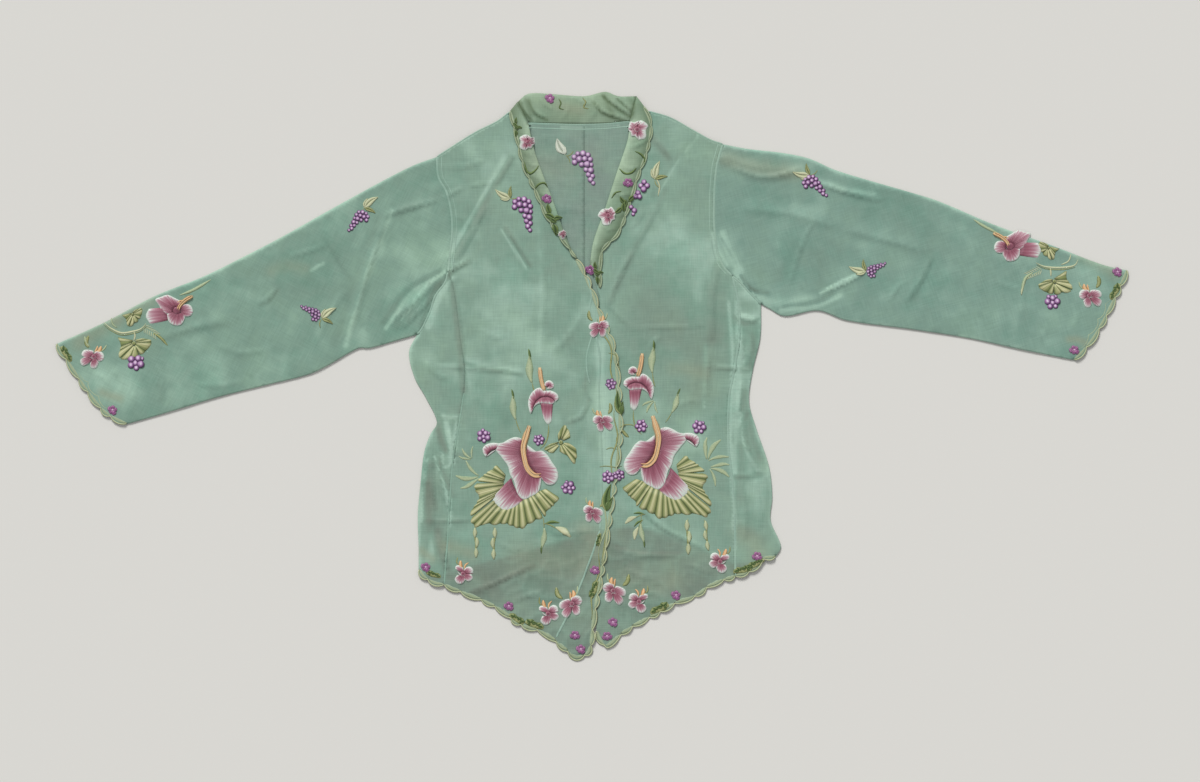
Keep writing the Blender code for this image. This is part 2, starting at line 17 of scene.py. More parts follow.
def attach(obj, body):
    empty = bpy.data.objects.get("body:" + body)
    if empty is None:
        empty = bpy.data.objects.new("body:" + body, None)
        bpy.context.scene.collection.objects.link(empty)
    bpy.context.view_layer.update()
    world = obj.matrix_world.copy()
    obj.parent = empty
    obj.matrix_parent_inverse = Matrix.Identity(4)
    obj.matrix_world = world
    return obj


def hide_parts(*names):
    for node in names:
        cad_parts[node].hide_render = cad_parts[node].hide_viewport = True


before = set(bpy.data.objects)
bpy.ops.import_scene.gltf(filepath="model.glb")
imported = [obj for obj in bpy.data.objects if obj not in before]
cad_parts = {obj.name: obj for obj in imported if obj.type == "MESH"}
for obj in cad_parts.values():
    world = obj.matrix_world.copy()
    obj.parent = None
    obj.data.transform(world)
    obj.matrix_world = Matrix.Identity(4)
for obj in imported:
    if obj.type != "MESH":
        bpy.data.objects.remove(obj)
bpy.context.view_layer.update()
bpy.ops.object.select_all(action="DESELECT")
MM = 0.001

# %% [markdown]
# ## The camera and the light
# The blouse is seen from straight above. A long lens, four metres up, keeps the cuffs as square to
# the eye as the middle. The light is one far, wide softbox above the collar, low enough for folds
# to show, and a pale room that fills the shadows.

# %% Camera
PHOTO_SIZE = (1200, 782)
MM_PER_PIXEL = 1.25
CAMERA_HEIGHT = 4.0
VIEW_CENTRE = (9.7 * MM, -18.4 * MM)
SENSOR = 36.0
field_width = PHOTO_SIZE[0] * MM_PER_PIXEL * MM
bpy.ops.object.camera_add(location=(*VIEW_CENTRE, CAMERA_HEIGHT), rotation=(0, 0, 0))
camera = bpy.context.object
camera.data.sensor_width = SENSOR
camera.data.lens = SENSOR * CAMERA_HEIGHT / field_width
camera.data.clip_end = 20
bpy.context.scene.camera = camera
bpy.context.scene.view_settings.view_transform = "Standard"
print("lens", round(camera.data.lens, 1), "mm for a field", round(field_width, 3), "m wide")


# %% Helpers for colours and shader nodes
def colour(text):
    """An sRGB hex value, such as 87a696, as a linear colour."""
    channels = [int(text[index:index + 2], 16) / 255 for index in (0, 2, 4)]
    return tuple(c / 12.92 if c <= 0.04045 else ((c + 0.055) / 1.055) ** 2.4 for c in channels) + (1.0,)


def add(tree, kind, settings=None, stops=(), **links):
    """One shader node: an input takes a value, or an output to link, and a ramp takes its stops."""
    node = tree.nodes.new("ShaderNode" + kind)
    for name, value in (settings or {}).items():
        setattr(node, name, value)
    for name, value in links.items():
        # _0 is the node's first input, and Height is its input of that name.
        socket = node.inputs[int(name[1:]) if name.startswith("_") else name]
        if isinstance(value, bpy.types.NodeSocket):
            tree.links.new(value, socket)
        else:
            socket.default_value = value
    if stops:
        elements = node.color_ramp.elements
        while len(elements) < len(stops):
            elements.new(0.5)
        for element, (position, text) in zip(elements, stops):
            element.position = position
            element.color = colour(text)
    return node


def new_material(name):
    """A material, its node tree and its shader."""
    made = bpy.data.materials.new(name)
    made.use_nodes = True
    return made, made.node_tree, made.node_tree.nodes["Principled BSDF"]


print("a mid grey of 808080 is", round(colour("808080")[0], 3), "in linear light")

# %% Floor and light
FLOOR_SIDE = 6
FLOOR_DROP = 0.2 * MM
bpy.ops.mesh.primitive_plane_add(size=FLOOR_SIDE, location=(0, 0, -FLOOR_DROP))
floor = bpy.context.object
floor.name = "floor"
floor_material, tree, shader = new_material("matt paper floor")
shader.inputs["Base Color"].default_value = colour("dcdad4")
shader.inputs["Roughness"].default_value = 0.9
floor.data.materials.append(floor_material)

SOFTBOX_HEIGHT = math.radians(36)
SOFTBOX_SIDE = math.radians(108)
SOFTBOX_SPREAD = math.radians(18)
SOFTBOX_STRENGTH = 2.75
ROOM_STRENGTH = 0.5
toward = Vector((math.cos(SOFTBOX_SIDE), math.sin(SOFTBOX_SIDE), math.tan(SOFTBOX_HEIGHT)))
bpy.ops.object.light_add(type="SUN", location=(0, 0, 2), rotation=toward.to_track_quat("Z", "Y").to_euler())
softbox = bpy.context.object
softbox.data.angle = SOFTBOX_SPREAD
softbox.data.energy = SOFTBOX_STRENGTH
room = bpy.data.worlds.new("pale room")
bpy.context.scene.world = room
room.use_nodes = True
room_shader = room.node_tree.nodes["Background"]
room_shader.inputs["Color"].default_value = colour("f2f3f5")
room_shader.inputs["Strength"].default_value = ROOM_STRENGTH
print("the softbox stands at", [round(v, 2) for v in toward], "from the blouse")

# %% [markdown]
# ## The pattern
# Each piece of cloth is cut along edges that it shares with its neighbours. An edge is a short list
# of points in millimetres, read as one smooth line, and a scalloped edge is the same line with a row
# of small lobes. Left and right are the wearer's.

# %% The edges of the pattern, in millimetres
COLLAR_TOP = ((-93, 343), (-80, 353), (-50, 352.5), (-9, 350), (17, 355.5), (32, 350), (55, 350))
COLLAR_END_RIGHT = ((-93, 343), (-80, 317))
COLLAR_END_LEFT = ((47, 319), (55, 350))
NECK_SEAM = ((-80, 317), (-52, 316), (-18, 315), (17, 316), (47, 319))
CENTRE_BACK_X = -9.5
ROLL_RIGHT = ((-80, 317), (-72, 282), (-64, 259), (-49, 220), (-33, 175), (-20, 147))
ROLL_LEFT = ((47, 319), (44, 295), (30, 253), (16, 210), (1, 167), (-3, 141))
BAND_EDGE_RIGHT = ((-103, 331), (-95, 299), (-86, 263), (-70, 228), (-57, 199), (-40, 174), (-20, 147))
BAND_EDGE_LEFT = ((65, 337), (74, 314), (68, 278), (57, 248), (47, 215), (32, 177), (13, 156), (10, 110))
BAND_TUCK_LEFT = ((-3, 141), (2, 127), (10, 110))
SHOULDER_RIGHT = ((-103, 330), (-119, 318), (-145, 305), (-177, 285), (-194, 274))
SHOULDER_LEFT = ((70, 331), (97, 323), (126, 307), (148, 295), (163, 290))
ARMHOLE_RIGHT = ((-194, 274), (-192, 249), (-182, 230), (-176, 204), (-175, 179), (-178, 150), (-180, 130))
ARMHOLE_LEFT = ((163, 290), (155, 259), (152, 209), (153, 180), (157, 154), (164, 137), (175, 125))
UNDERARM_RIGHT = ((-180, 130), (-184, 117), (-195, 102), (-203, 80), (-213, 59), (-219, 52))
UNDERARM_LEFT = ((175, 125), (185, 117), (197, 104), (211, 90))
SLEEVE_TOP_RIGHT = (
    (-194, 274), (-222, 264), (-260, 245), (-324, 210), (-388, 174), (-440, 147), (-487, 124),
    (-547, 100), (-610, 67), (-670, 40),
)
SLEEVE_UNDER_RIGHT = (
    (-219, 52), (-250, 43), (-279, 35), (-292, 35), (-333, 12), (-355, 2), (-403, -10), (-467, -26),
    (-530, -45), (-582, -60),
)
CUFF_RIGHT = ((-670, 40), (-649, 8), (-628, -23), (-607, -47), (-582, -60))
SLEEVE_TOP_LEFT = (
    (163, 290), (195, 284), (238, 279), (271, 272), (303, 258), (345, 245), (397, 230), (432, 219),
    (503, 189), (573, 164), (636, 140), (669, 132),
)
SLEEVE_UNDER_LEFT = (
    (211, 90), (222, 84), (240, 75), (282, 82), (317, 70), (397, 59), (468, 48), (538, 33), (603, 20),
)
CUFF_LEFT = ((669, 132), (653, 97), (638, 67), (622, 41), (603, 20))
PRINCESS_RIGHT = (
    (-180, 130), (-172, 105), (-164, 43), (-159, 10), (-160, -20), (-165, -52), (-174, -108),
    (-178, -158), (-181, -210), (-185, -261),
)
PRINCESS_LEFT = (
    (175, 125), (182, 95), (184, 59), (178, 10), (171, -27), (170, -80), (175, -130), (178, -180),
    (179, -250),
)
SIDE_RIGHT = (
    (-219, 52), (-229, 30), (-222, -2), (-208, -27), (-194, -58), (-202, -72), (-210, -95),
    (-215, -138), (-218, -173), (-217, -216), (-217, -242),
)
SIDE_LEFT = (
    (211, 90), (210, 48), (201, 9), (196, -31), (205, -65), (221, -113), (225, -150), (223, -180),
    (236, -213), (229, -226),
)
CENTRE_FRONT_RIGHT = (
    (-20, 147), (-5, 118), (11, 75), (26, 38), (33, -15), (35, -72), (29, -125), (18, -205),
    (11, -250), (2, -305), (-1, -337),
)
CENTRE_FRONT_LEFT = ((9, 100), (10, 24), (9, -21), (12, -101), (12, -150), (10, -200), (7, -262), (5, -318))
HEM_RIGHT = (
    (-1, -337), (-6, -347), (-20, -352), (-37, -339), (-61, -321), (-93, -309), (-114, -293),
    (-136, -281), (-159, -272), (-185, -261),
)
HEM_SIDE_RIGHT = ((-185, -261), (-201, -257), (-211, -250), (-217, -242))
HEM_LEFT = (
    (5, -318), (10, -331), (18, -338), (29, -329), (49, -314), (77, -299), (106, -283), (129, -275),
    (149, -261), (179, -250),
)
HEM_SIDE_LEFT = ((179, -250), (199, -243), (215, -228), (229, -226))
BACK_HEM = (
    (-183.5, -246), (-140, -232), (-90, -219), (-40, -204), (-9.5, -196), (30, -188), (60, -187),
    (105, -202), (140, -218), (178, -232),
)
print("the pattern spans", SLEEVE_TOP_LEFT[-1][0] - SLEEVE_TOP_RIGHT[-1][0], "mm from cuff to cuff")

# %% Lines: smooth, measured and moved sideways
EDGE_STEP = 5 * MM


def smooth_line(rows, step=EDGE_STEP):
    """Points about step apart on a smooth curve through rows in millimetres, as an array."""
    knots = np.array(rows, float) * MM
    line = [knots[0]]
    for index in range(len(knots) - 1):
        here, there = knots[index], knots[index + 1]
        before, after = knots[max(index - 1, 0)], knots[min(index + 2, len(knots) - 1)]
        span = np.linalg.norm(there - here)
        leave = (there - before) * span / max(np.linalg.norm(here - before) + span, 1e-9)
        arrive = (after - here) * span / max(np.linalg.norm(after - there) + span, 1e-9)
        count = max(1, round(span / step))
        for t in np.arange(1, count + 1) / count:
            line.append(
                here * (1 + t * t * (2 * t - 3)) + leave * (t * (1 - t) ** 2)
                + there * (t * t * (3 - 2 * t)) + arrive * (t * t * (t - 1))
            )
    return np.array(line)


def walked(line):
    """How far along the line each of its points lies."""
    return np.concatenate([[0.0], np.cumsum(np.linalg.norm(np.diff(line, axis=0), axis=1))])


def line_points(line, marks):
    """Points on the line at marks, which are shares of its length."""
    along = walked(line)
    return np.stack([np.interp(marks * along[-1], along, line[:, axis]) for axis in (0, 1)], axis=1)


def sideways(line, distance):
    """The line moved to its right."""
    ahead = np.gradient(line, axis=0)
    ahead = ahead / np.maximum(np.linalg.norm(ahead, axis=1, keepdims=True), 1e-12)
    return line + np.stack([ahead[:, 1], -ahead[:, 0]], axis=1) * np.reshape(distance, (-1, 1))


def arc(row, step=10 * MM):
    """The line through the three points that a row of a table starts with."""
    return smooth_line((row[0:2], row[2:4], row[4:6]), step)


print("the neck seam is", round(walked(smooth_line(NECK_SEAM))[-1], 3), "m long")

# %% Scalloped edges and closed outlines
LOBE_PITCH = 21 * MM
LOBE_SHARES = (1.0, 1.3, 0.85, 1.15, 0.7)
LOBE_DEPTH = 4 * MM
LOBE_STEPS = 8
LOBE_ROUNDNESS = 0.7
ROLLED_DEPTH = 2.2 * MM
SAME_POINT = 0.6 * MM


def lobe_line(rows, depth=LOBE_DEPTH):
    """Points along an edge, and how far its lobes stand out there: no two lobes in a row are as wide."""
    line = smooth_line(rows, 4 * MM)
    lobes = max(1, round(walked(line)[-1] / LOBE_PITCH))
    marks = np.cumsum(np.repeat(np.resize(LOBE_SHARES, lobes), LOBE_STEPS))
    points = line_points(line, np.concatenate([[0.0], marks / marks[-1]]))
    wave = np.abs(np.sin(math.pi * np.arange(len(points)) / LOBE_STEPS))
    return points, depth * wave ** LOBE_ROUNDNESS


def lobed(rows, depth=LOBE_DEPTH):
    """A scalloped edge: round lobes that stand out to the right of the line of travel."""
    points, swell = lobe_line(rows, depth)
    return sideways(points, swell)


def loop_of(*edges):
    """One anticlockwise loop from edges that follow each other; rows of millimetres are smoothed."""
    lines = [smooth_line(edge) if isinstance(edge, tuple) else edge for edge in edges]
    loop = [lines[0][0]]
    for point in np.concatenate(lines):
        if np.linalg.norm(point - loop[-1]) > SAME_POINT:
            loop.append(point)
    while np.linalg.norm(loop[0] - loop[-1]) < SAME_POINT:
        loop.pop()
    return np.array(loop)


print("the right hem has", len(lobed(HEM_RIGHT[::-1])) // LOBE_STEPS, "lobes")

# %% Where a point lies: beside a line, or inside a loop
def line_distance(points, line):
    """For each point its distance to a line, the length walked there and the side that it lies on."""
    best = np.full(len(points), 1e9)
    place = np.zeros(len(points))
    side = np.ones(len(points))
    along = walked(line)
    for index in range(len(line) - 1):
        start, step = line[index], line[index + 1] - line[index]
        length = max(np.linalg.norm(step), 1e-12)
        share = np.clip((points - start) @ step / length ** 2, 0, 1)
        offset = points - (start + share[:, None] * step)
        distance = np.linalg.norm(offset, axis=1)
        nearer = distance < best
        best = np.where(nearer, distance, best)
        place = np.where(nearer, along[index] + share * length, place)
        side = np.where(nearer, np.sign(step[1] * offset[:, 0] - step[0] * offset[:, 1]), side)
    return best, place, side


def inside(points, loop):
    """Whether each point lies inside the loop: a ray to its right crosses it an odd number of times."""
    found = np.zeros(len(points), bool)
    for start, end in zip(loop, np.roll(loop, -1, axis=0)):
        spans = (start[1] > points[:, 1]) != (end[1] > points[:, 1])
        rise = end[1] - start[1] if abs(end[1] - start[1]) > 1e-15 else 1e-15
        cross = start[0] + (points[:, 1] - start[1]) * (end[0] - start[0]) / rise
        found ^= spans & (points[:, 0] < cross)
    return found


seam_middle = line_distance(np.zeros((1, 2)), smooth_line(CENTRE_FRONT_RIGHT))[0][0]
print("the origin lies", round(seam_middle / MM, 1), "mm from the edge of the centre front")


# %% The outline of each piece
BACK_SEAM = (CENTRE_BACK_X, -196, 314.7)
BACK_SEAM_POINTS = 90
SEAM_CLEARANCE = 2 * MM


def back_loop(side, princess, end):
    """One back panel, on the side -1 for right or 1 for left, down to the end of its hem."""
    x, low, high = np.array(BACK_SEAM) * MM
    seam = np.array([(x, y) for y in np.linspace(low, high, BACK_SEAM_POINTS)])
    neck, hem = [
        line[side * (line[:, 0] - x) > SEAM_CLEARANCE]
        for line in (smooth_line(NECK_SEAM[::-1]), smooth_line(BACK_HEM))
    ]
    sewn = smooth_line(princess)
    sewn = sewn[sewn[:, 1] > end[1] * MM + SEAM_CLEARANCE]
    if side < 0:
        return loop_of(seam, neck, SHOULDER_RIGHT, ARMHOLE_RIGHT, sewn, hem)
    return loop_of(hem, sewn, ARMHOLE_LEFT[::-1], SHOULDER_LEFT[::-1], neck, seam[::-1])


OUTLINES = {
    "back_right": back_loop(-1, PRINCESS_RIGHT, BACK_HEM[0]),
    "back_left": back_loop(1, PRINCESS_LEFT[::-1], BACK_HEM[-1]),
    "front_left": loop_of(
        ROLL_LEFT, CENTRE_FRONT_LEFT, lobed(HEM_LEFT), PRINCESS_LEFT[::-1], ARMHOLE_LEFT[::-1],
        SHOULDER_LEFT[::-1],
    ),
    "front_right": loop_of(
        ROLL_RIGHT[::-1], SHOULDER_RIGHT, ARMHOLE_RIGHT, PRINCESS_RIGHT, lobed(HEM_RIGHT[::-1]),
        lobed(CENTRE_FRONT_RIGHT[::-1]),
    ),
    "side_right": loop_of(UNDERARM_RIGHT, SIDE_RIGHT, lobed(HEM_SIDE_RIGHT[::-1]), PRINCESS_RIGHT[::-1]),
    "side_left": loop_of(PRINCESS_LEFT, lobed(HEM_SIDE_LEFT), SIDE_LEFT[::-1], UNDERARM_LEFT[::-1]),
    "sleeve_right": loop_of(
        SLEEVE_TOP_RIGHT, lobed(CUFF_RIGHT), SLEEVE_UNDER_RIGHT[::-1], UNDERARM_RIGHT[::-1],
        ARMHOLE_RIGHT[::-1],
    ),
    "sleeve_left": loop_of(
        SLEEVE_UNDER_LEFT, lobed(CUFF_LEFT[::-1]), SLEEVE_TOP_LEFT[::-1], ARMHOLE_LEFT, UNDERARM_LEFT
    ),
}
print("outlines:", {name: len(loop) for name, loop in OUTLINES.items()}, "points")

# %% [markdown]
# ## How the cloth lies
# The heights come from what lies on what: the back on the floor, the fronts on the back, the right
# front on the left one. On top of that come the folds, each a soft ridge with a steep and a gentle
# side, as a thin cloth keeps when it is laid down, and a slight unevenness everywhere.

# %% The larger folds, in millimetres
FOLDS_RIGHT = (
    # the crest through x0, y0, x1, y1, x2, y2; width, rise, and lean to the right of the crest
    (-97, 278, -110, 256, -120, 238, 9, 1.5, 0.3), (-132, 214, -154, 172, -178, 131, 12, 2.6, 0.4),
    (-110, 190, -93, 164, -78, 138, 10, 2.0, -0.3), (-186, 128, -170, 136, -152, 145, 9, 2.4, 0.5),
    (-200, 13, -160, 11, -88, 5, 10, 1.8, 0.5), (-196, -47, -182, -50, -166, -50, 8, 1.2, 0.0),
    (-206, -180, -180, -181, -152, -180, 8, 1.5, 0.0), (-150, -270, -114, -255, -75, -237, 9, 1.8, -0.6),
    (-98, -281, -78, -274, -58, -268, 10, 1.4, -0.4), (-42, -320, -15, -262, -2, -205, 14, 1.6, 0.3),
    (-202, -80, -200, -130, -198, -187, 9, 2.8, 0.3), (-179, -66, -175, -88, -171, -108, 9, 3.2, 0.4),
    (-194, -118, -188, -142, -177, -166, 9, 3.2, 0.4), (-193, -198, -188, -220, -179, -242, 10, 3.0, -0.4),
    (-196, -70, -192, -95, -189, -118, 10, 2.6, -0.3), (-208, 20, -196, 4, -180, -4, 10, 1.6, 0.3),
    (-190, 221, -176, 228, -160, 236, 10, 1.3, -0.3), (-160, 236, -140, 240, -120, 243, 9, 1.0, 0.2),
    (-190, 262, -160, 262, -130, 272, 11, 1.0, 0.2), (-172, 200, -160, 196, -150, 184, 9, 0.9, 0.0),
    (-174, 112, -166, 60, -160, 0, 10, 1.8, 0.6), (-52, 28, -30, 50, -8, 85, 18, 1.5, 0.2),
    (-107, -12, -108, -24, -107, -36, 8, 1.2, 0.2), (-33, -57, -14, -50, -4, -28, 9, 1.6, 0.3),
    (-6, 10, -9, -10, -3, -30, 9, 1.5, -0.3), (-65, -187, -46, -196, 6, -192, 10, 1.6, -0.3),
    (-62, 176, -60, 110, -62, 34, 12, 1.0, 0.4), (-120, -205, -100, -216, -84, -214, 10, 1.2, 0.0),
    (-140, 60, -120, 48, -104, 52, 12, 0.9, 0.2), (-254, 206, -279, 136, -306, 44, 20, 4.4, 0.55),
    (-256, 201, -225, 211, -190, 221, 14, 2.4, -0.4), (-252, 66, -222, 94, -192, 124, 11, 2.6, 0.4),
    (-240, 58, -216, 82, -197, 102, 9, 1.8, 0.3), (-334, 176, -318, 148, -302, 122, 8, 1.4, 0.0),
    (-347, 38, -330, 74, -309, 108, 12, 1.4, 0.2), (-418, 91, -404, 98, -395, 112, 9, 1.6, -0.3),
    (-542, 47, -500, 60, -456, 68, 18, 1.4, -0.3), (-544, 16, -536, -8, -538, -31, 8, 1.5, 0.2),
    (-280, 80, -282, 68, -281, 56, 8, 1.2, 0.0), (-622, 5, -607, -4, -598, -18, 9, 1.1, 0.3),
    (-598, 8, -588, -8, -590, -24, 9, 1.0, -0.3), (-578, -2, -570, -14, -574, -30, 8, 0.9, 0.0),
    (-470, 40, -440, 30, -400, 34, 13, 1.0, 0.2), (-500, -8, -470, -12, -436, -6, 11, 0.9, 0.0),
    (-380, 150, -350, 158, -330, 166, 11, 1.0, 0.3), (-430, 110, -425, 70, -432, 40, 15, 1.0, 0.2),
)
FOLDS_LEFT = (
    (20, 82, 30, 115, 53, 160, 12, 2.4, -0.4), (53, 160, 70, 190, 88, 224, 14, 1.3, -0.3),
    (19, 93, 34, 76, 49, 60, 9, 1.6, 0.3), (80, 296, 88, 286, 98, 272, 9, 1.6, 0.4),
    (65, 210, 57, 196, 48, 183, 9, 1.2, 0.2), (158, 138, 151, 104, 151, 45, 15, 2.2, 0.5),
    (149, 12, 172, 10, 199, 7, 8, 1.8, 0.0), (146, 34, 144, 0, 143, -38, 9, 1.6, 0.3),
    (32, 60, 90, 61, 146, 64, 9, 1.0, 0.0), (71, 33, 77, 43, 85, 51, 8, 1.2, 0.3),
    (184, 75, 196, 72, 206, 67, 10, 2.8, 0.4), (183, 54, 186, 38, 189, 20, 10, 3.0, 0.3),
    (188, -50, 192, -84, 206, -118, 11, 2.6, 0.4), (177, -125, 190, -124, 203, -127, 8, 1.3, 0.0),
    (186, -130, 190, -170, 192, -205, 13, 2.2, 0.3), (198, 50, 196, 30, 192, 12, 9, 2.0, -0.3),
    (204, -130, 208, -160, 212, -190, 10, 2.0, 0.2), (186, -6, 184, -30, 180, -52, 10, 1.8, 0.3),
    (61, -167, 90, -190, 146, -219, 10, 1.9, -0.3), (29, -216, 60, -223, 110, -224, 10, 1.9, 0.3),
    (120, -234, 134, -240, 150, -246, 10, 1.2, 0.2), (40, -240, 60, -250, 84, -252, 11, 1.3, -0.2),
    (100, -40, 122, -30, 138, -34, 11, 0.9, 0.2), (172, 262, 214, 249, 258, 257, 15, 3.0, 0.5),
    (276, 244, 317, 230, 363, 219, 15, 2.6, -0.5), (184, 210, 250, 202, 312, 184, 26, 1.9, -0.4),
    (312, 184, 366, 170, 420, 156, 21, 1.6, -0.4), (284, 209, 262, 163, 245, 110, 9, 1.4, 0.3),
    (284, 104, 311, 115, 342, 131, 8, 2.2, 0.5), (426, 153, 412, 123, 392, 92, 13, 2.2, 0.4),
    (386, 117, 378, 105, 370, 93, 10, 1.3, 0.2), (541, 124, 538, 98, 537, 70, 14, 1.2, 0.2),
    (470, 178, 484, 130, 482, 74, 22, 1.2, 0.2), (600, 90, 606, 76, 600, 60, 10, 1.0, 0.2),
    (560, 70, 566, 60, 562, 46, 10, 0.9, -0.2), (500, 120, 520, 112, 536, 110, 11, 0.9, 0.0),
    (230, 170, 238, 150, 232, 128, 15, 1.0, 0.2),
)
FOLDS_BACK = (
    # those that show in the open neck
    (-68, 276, -54, 271, -40, 272, 9, 0.8, 0.3), (-48, 212, -30, 208, -10, 209, 9, 0.8, -0.3),
    (4, 292, 10, 272, 14, 252, 10, 0.8, 0.3), (-46, 246, -26, 241, -4, 246, 12, 0.8, 0.2),
    (-30, 180, -20, 172, -12, 170, 8, 0.7, 0.0), (-70, 300, -50, 296, -24, 300, 9, 0.7, 0.0),
)


print("tables of", len(FOLDS_RIGHT) + len(FOLDS_LEFT) + len(FOLDS_BACK), "folds")

# %% Folds, unevenness and small creases
GENTLE_SIDE = 0.55
WAVES = ((34, 3, 1.0), (15, 5, 0.5), (95, 6, 1.1))
CREASES = ((52, 9, 1.0), (27, 10, 0.6))
RIDGES = ((24, 12, 1.0), (14, 14, 0.7))
RIPPLE = 0.35 * MM
CREASE_SHARE = 0.9
CREASE_SHARPNESS = 6


def fold_height(points, rows):
    """The lift of the folds: each is highest at its middle and fades at its ends."""
    height = np.zeros(len(points))
    for row in rows:
        width, rise, lean = row[6:]
        line = arc(row)
        distance, place, side = line_distance(points, line)
        flank = width * MM * 0.5 * (1 + GENTLE_SIDE * lean * side)
        fade = np.sin(math.pi * np.clip(place / walked(line)[-1], 0, 1)) ** 0.6
        bump = (1 - np.clip(distance / flank, 0, 1)) ** 1.6
        height = np.maximum(height, rise * MM * fade * bump)
    return height


def uneven(points, cell, seed):
    """Smooth noise from -1 to 1 on a square lattice of cells in millimetres."""
    lattice = np.random.default_rng(seed).uniform(-1, 1, (256, 256))
    spot = points / (cell * MM) + 128
    corner = np.floor(spot).astype(int)
    share = spot - corner
    share = share * share * (3 - 2 * share)
    x, y = corner[:, 0] % 255, corner[:, 1] % 255
    low = lattice[x, y] * (1 - share[:, 0]) + lattice[x + 1, y] * share[:, 0]
    high = lattice[x, y + 1] * (1 - share[:, 0]) + lattice[x + 1, y + 1] * share[:, 0]
    return low * (1 - share[:, 1]) + high * share[:, 1]


def layered(points, rows):
    """Noises added up, from rows of cell, seed and share."""
    return sum(share * uneven(points, cell, seed) for cell, seed, share in rows)


def creased(points, rows, sway, sway_cell, sway_seed):
    """Thin crests that wander and cross: the places where a noise is near zero, bent by another."""
    bend = np.stack([uneven(points, sway_cell, seed) for seed in (sway_seed, sway_seed + 1)], axis=1)
    bent = points + sway * MM * bend
    return sum(
        share * (1 - np.abs(uneven(bent, cell, seed))) ** CREASE_SHARPNESS for cell, seed, share in rows
    )


def ripple(points, amount=RIPPLE):
    """Slight waves, and the crisp small creases of a cloth that has been packed away."""
    return amount * (layered(points, WAVES) + CREASE_SHARE * creased(points, CREASES, 12, 40, 21))


def ridges(points):
    """Close small creases, between 0 and 1."""
    return np.clip(creased(points, RIDGES, 7, 25, 23), 0, 1)


print("waves of", [cell for cell, *_ in WAVES], "mm and creases of", [cell for cell, *_ in CREASES], "mm")

# %% The height of each layer
CLOTH = 1.2 * MM
FRONT_LAYER = CLOTH + 0.3 * MM
LAY_GAP = 0.4 * MM
SETTLE_START = 3 * MM
SETTLE_LENGTH = 40 * MM
OVERLAP_RAMP = 25 * MM
CRUMPLE = 1.1 * MM
BACK_RIPPLE = 0.12 * MM


def closed(loop):
    return np.vstack([loop, loop[:1]])


def on_back(points):
    """1 on the back panels, falling to 0 below the back hem, where the fronts reach the floor."""
    hem = smooth_line(BACK_HEM, 24 * MM)
    below = np.interp(points[:, 0], hem[:, 0], hem[:, 1]) - points[:, 1] - SETTLE_START
    return 1 - np.clip(below / SETTLE_LENGTH, 0, 1)


def on_left_front(points):
    """1 where the left front lies beneath, falling to 0 beside it."""
    distance = line_distance(points, closed(OUTLINES["front_left"]))[0]
    beside = np.where(inside(points, OUTLINES["front_left"]), 0, distance - SETTLE_START)
    return 1 - np.clip(beside / OVERLAP_RAMP, 0, 1)


def crumpled(points):
    """Small creases where the fronts lie alone, below the back hem."""
    return CRUMPLE * ridges(points) * (1 - on_back(points))


def back_top(points):
    return CLOTH + fold_height(points, FOLDS_BACK) + ripple(points, BACK_RIPPLE)


def front_left_top(points):
    lifted = fold_height(points, FOLDS_LEFT) + ripple(points) + crumpled(points)
    return FRONT_LAYER * on_back(points) + CLOTH + lifted


def front_right_top(points):
    beneath = (CLOTH + LAY_GAP) * on_left_front(points)
    lifted = fold_height(points, FOLDS_RIGHT) + ripple(points) + crumpled(points)
    return FRONT_LAYER * on_back(points) + beneath + CLOTH + lifted


def double_left_top(points):
    return FRONT_LAYER + CLOTH + fold_height(points, FOLDS_LEFT) + ripple(points)


def double_right_top(points):
    return FRONT_LAYER + CLOTH + fold_height(points, FOLDS_RIGHT) + ripple(points)


print("the fronts lie", round(FRONT_LAYER / MM, 2), "mm above the floor where the back is beneath them")

# %% [markdown]
# ## Cutting the cloth
# A sheet is its outline filled with an even net of points, and then lifted to the height of what
# lies beneath it. A sleeve and a side panel are folded double, so they are two such leaves joined
# along the folded edge. A thin Solidify wall gives the cloth its edge.

# %% A net of points, and its triangles
CLOTH_STEP = 3.1 * MM
BACK_STEP = 4.5 * MM
CREST_STEP = 2.6 * MM
CREST_CLEARANCE = 0.55
EDGE_CLEARANCE = 0.5
FOLD_ROWS = (0.5 * MM, 1.6 * MM)


def net_points(loop, step, folded_edges, folds):
    """An even net inside the outline, with rows of points beside folded edges and along each crest."""
    low, high = loop.min(axis=0), loop.max(axis=0)
    rows = []
    row_step = step * math.sqrt(3) / 2
    for row, y in enumerate(np.arange(low[1] + row_step / 2, high[1], row_step)):
        x = np.arange(low[0] + step * (0.25 + 0.5 * (row % 2)), high[0], step)
        rows.append(np.stack([x, np.full(len(x), y)], axis=1))
    net = np.concatenate(rows)
    net = net[inside(net, loop)]
    crests = [arc(row, CREST_STEP) for row in folds]
    crests = [crest[inside(crest, loop)] for crest in crests]
    for crest in crests:
        if len(crest) > 1:
            net = net[line_distance(net, crest)[0] > CREST_CLEARANCE * step]
    net = np.concatenate([net] + crests)
    net = net[line_distance(net, closed(loop))[0] > EDGE_CLEARANCE * step]
    for edge in folded_edges:
        net = net[line_distance(net, edge)[0] > FOLD_ROWS[-1] + EDGE_CLEARANCE * step]
    beside = [sideways(edge, -offset)[1:-1] for edge in folded_edges for offset in FOLD_ROWS]
    return np.concatenate([net] + [row[inside(row, loop)] for row in beside])


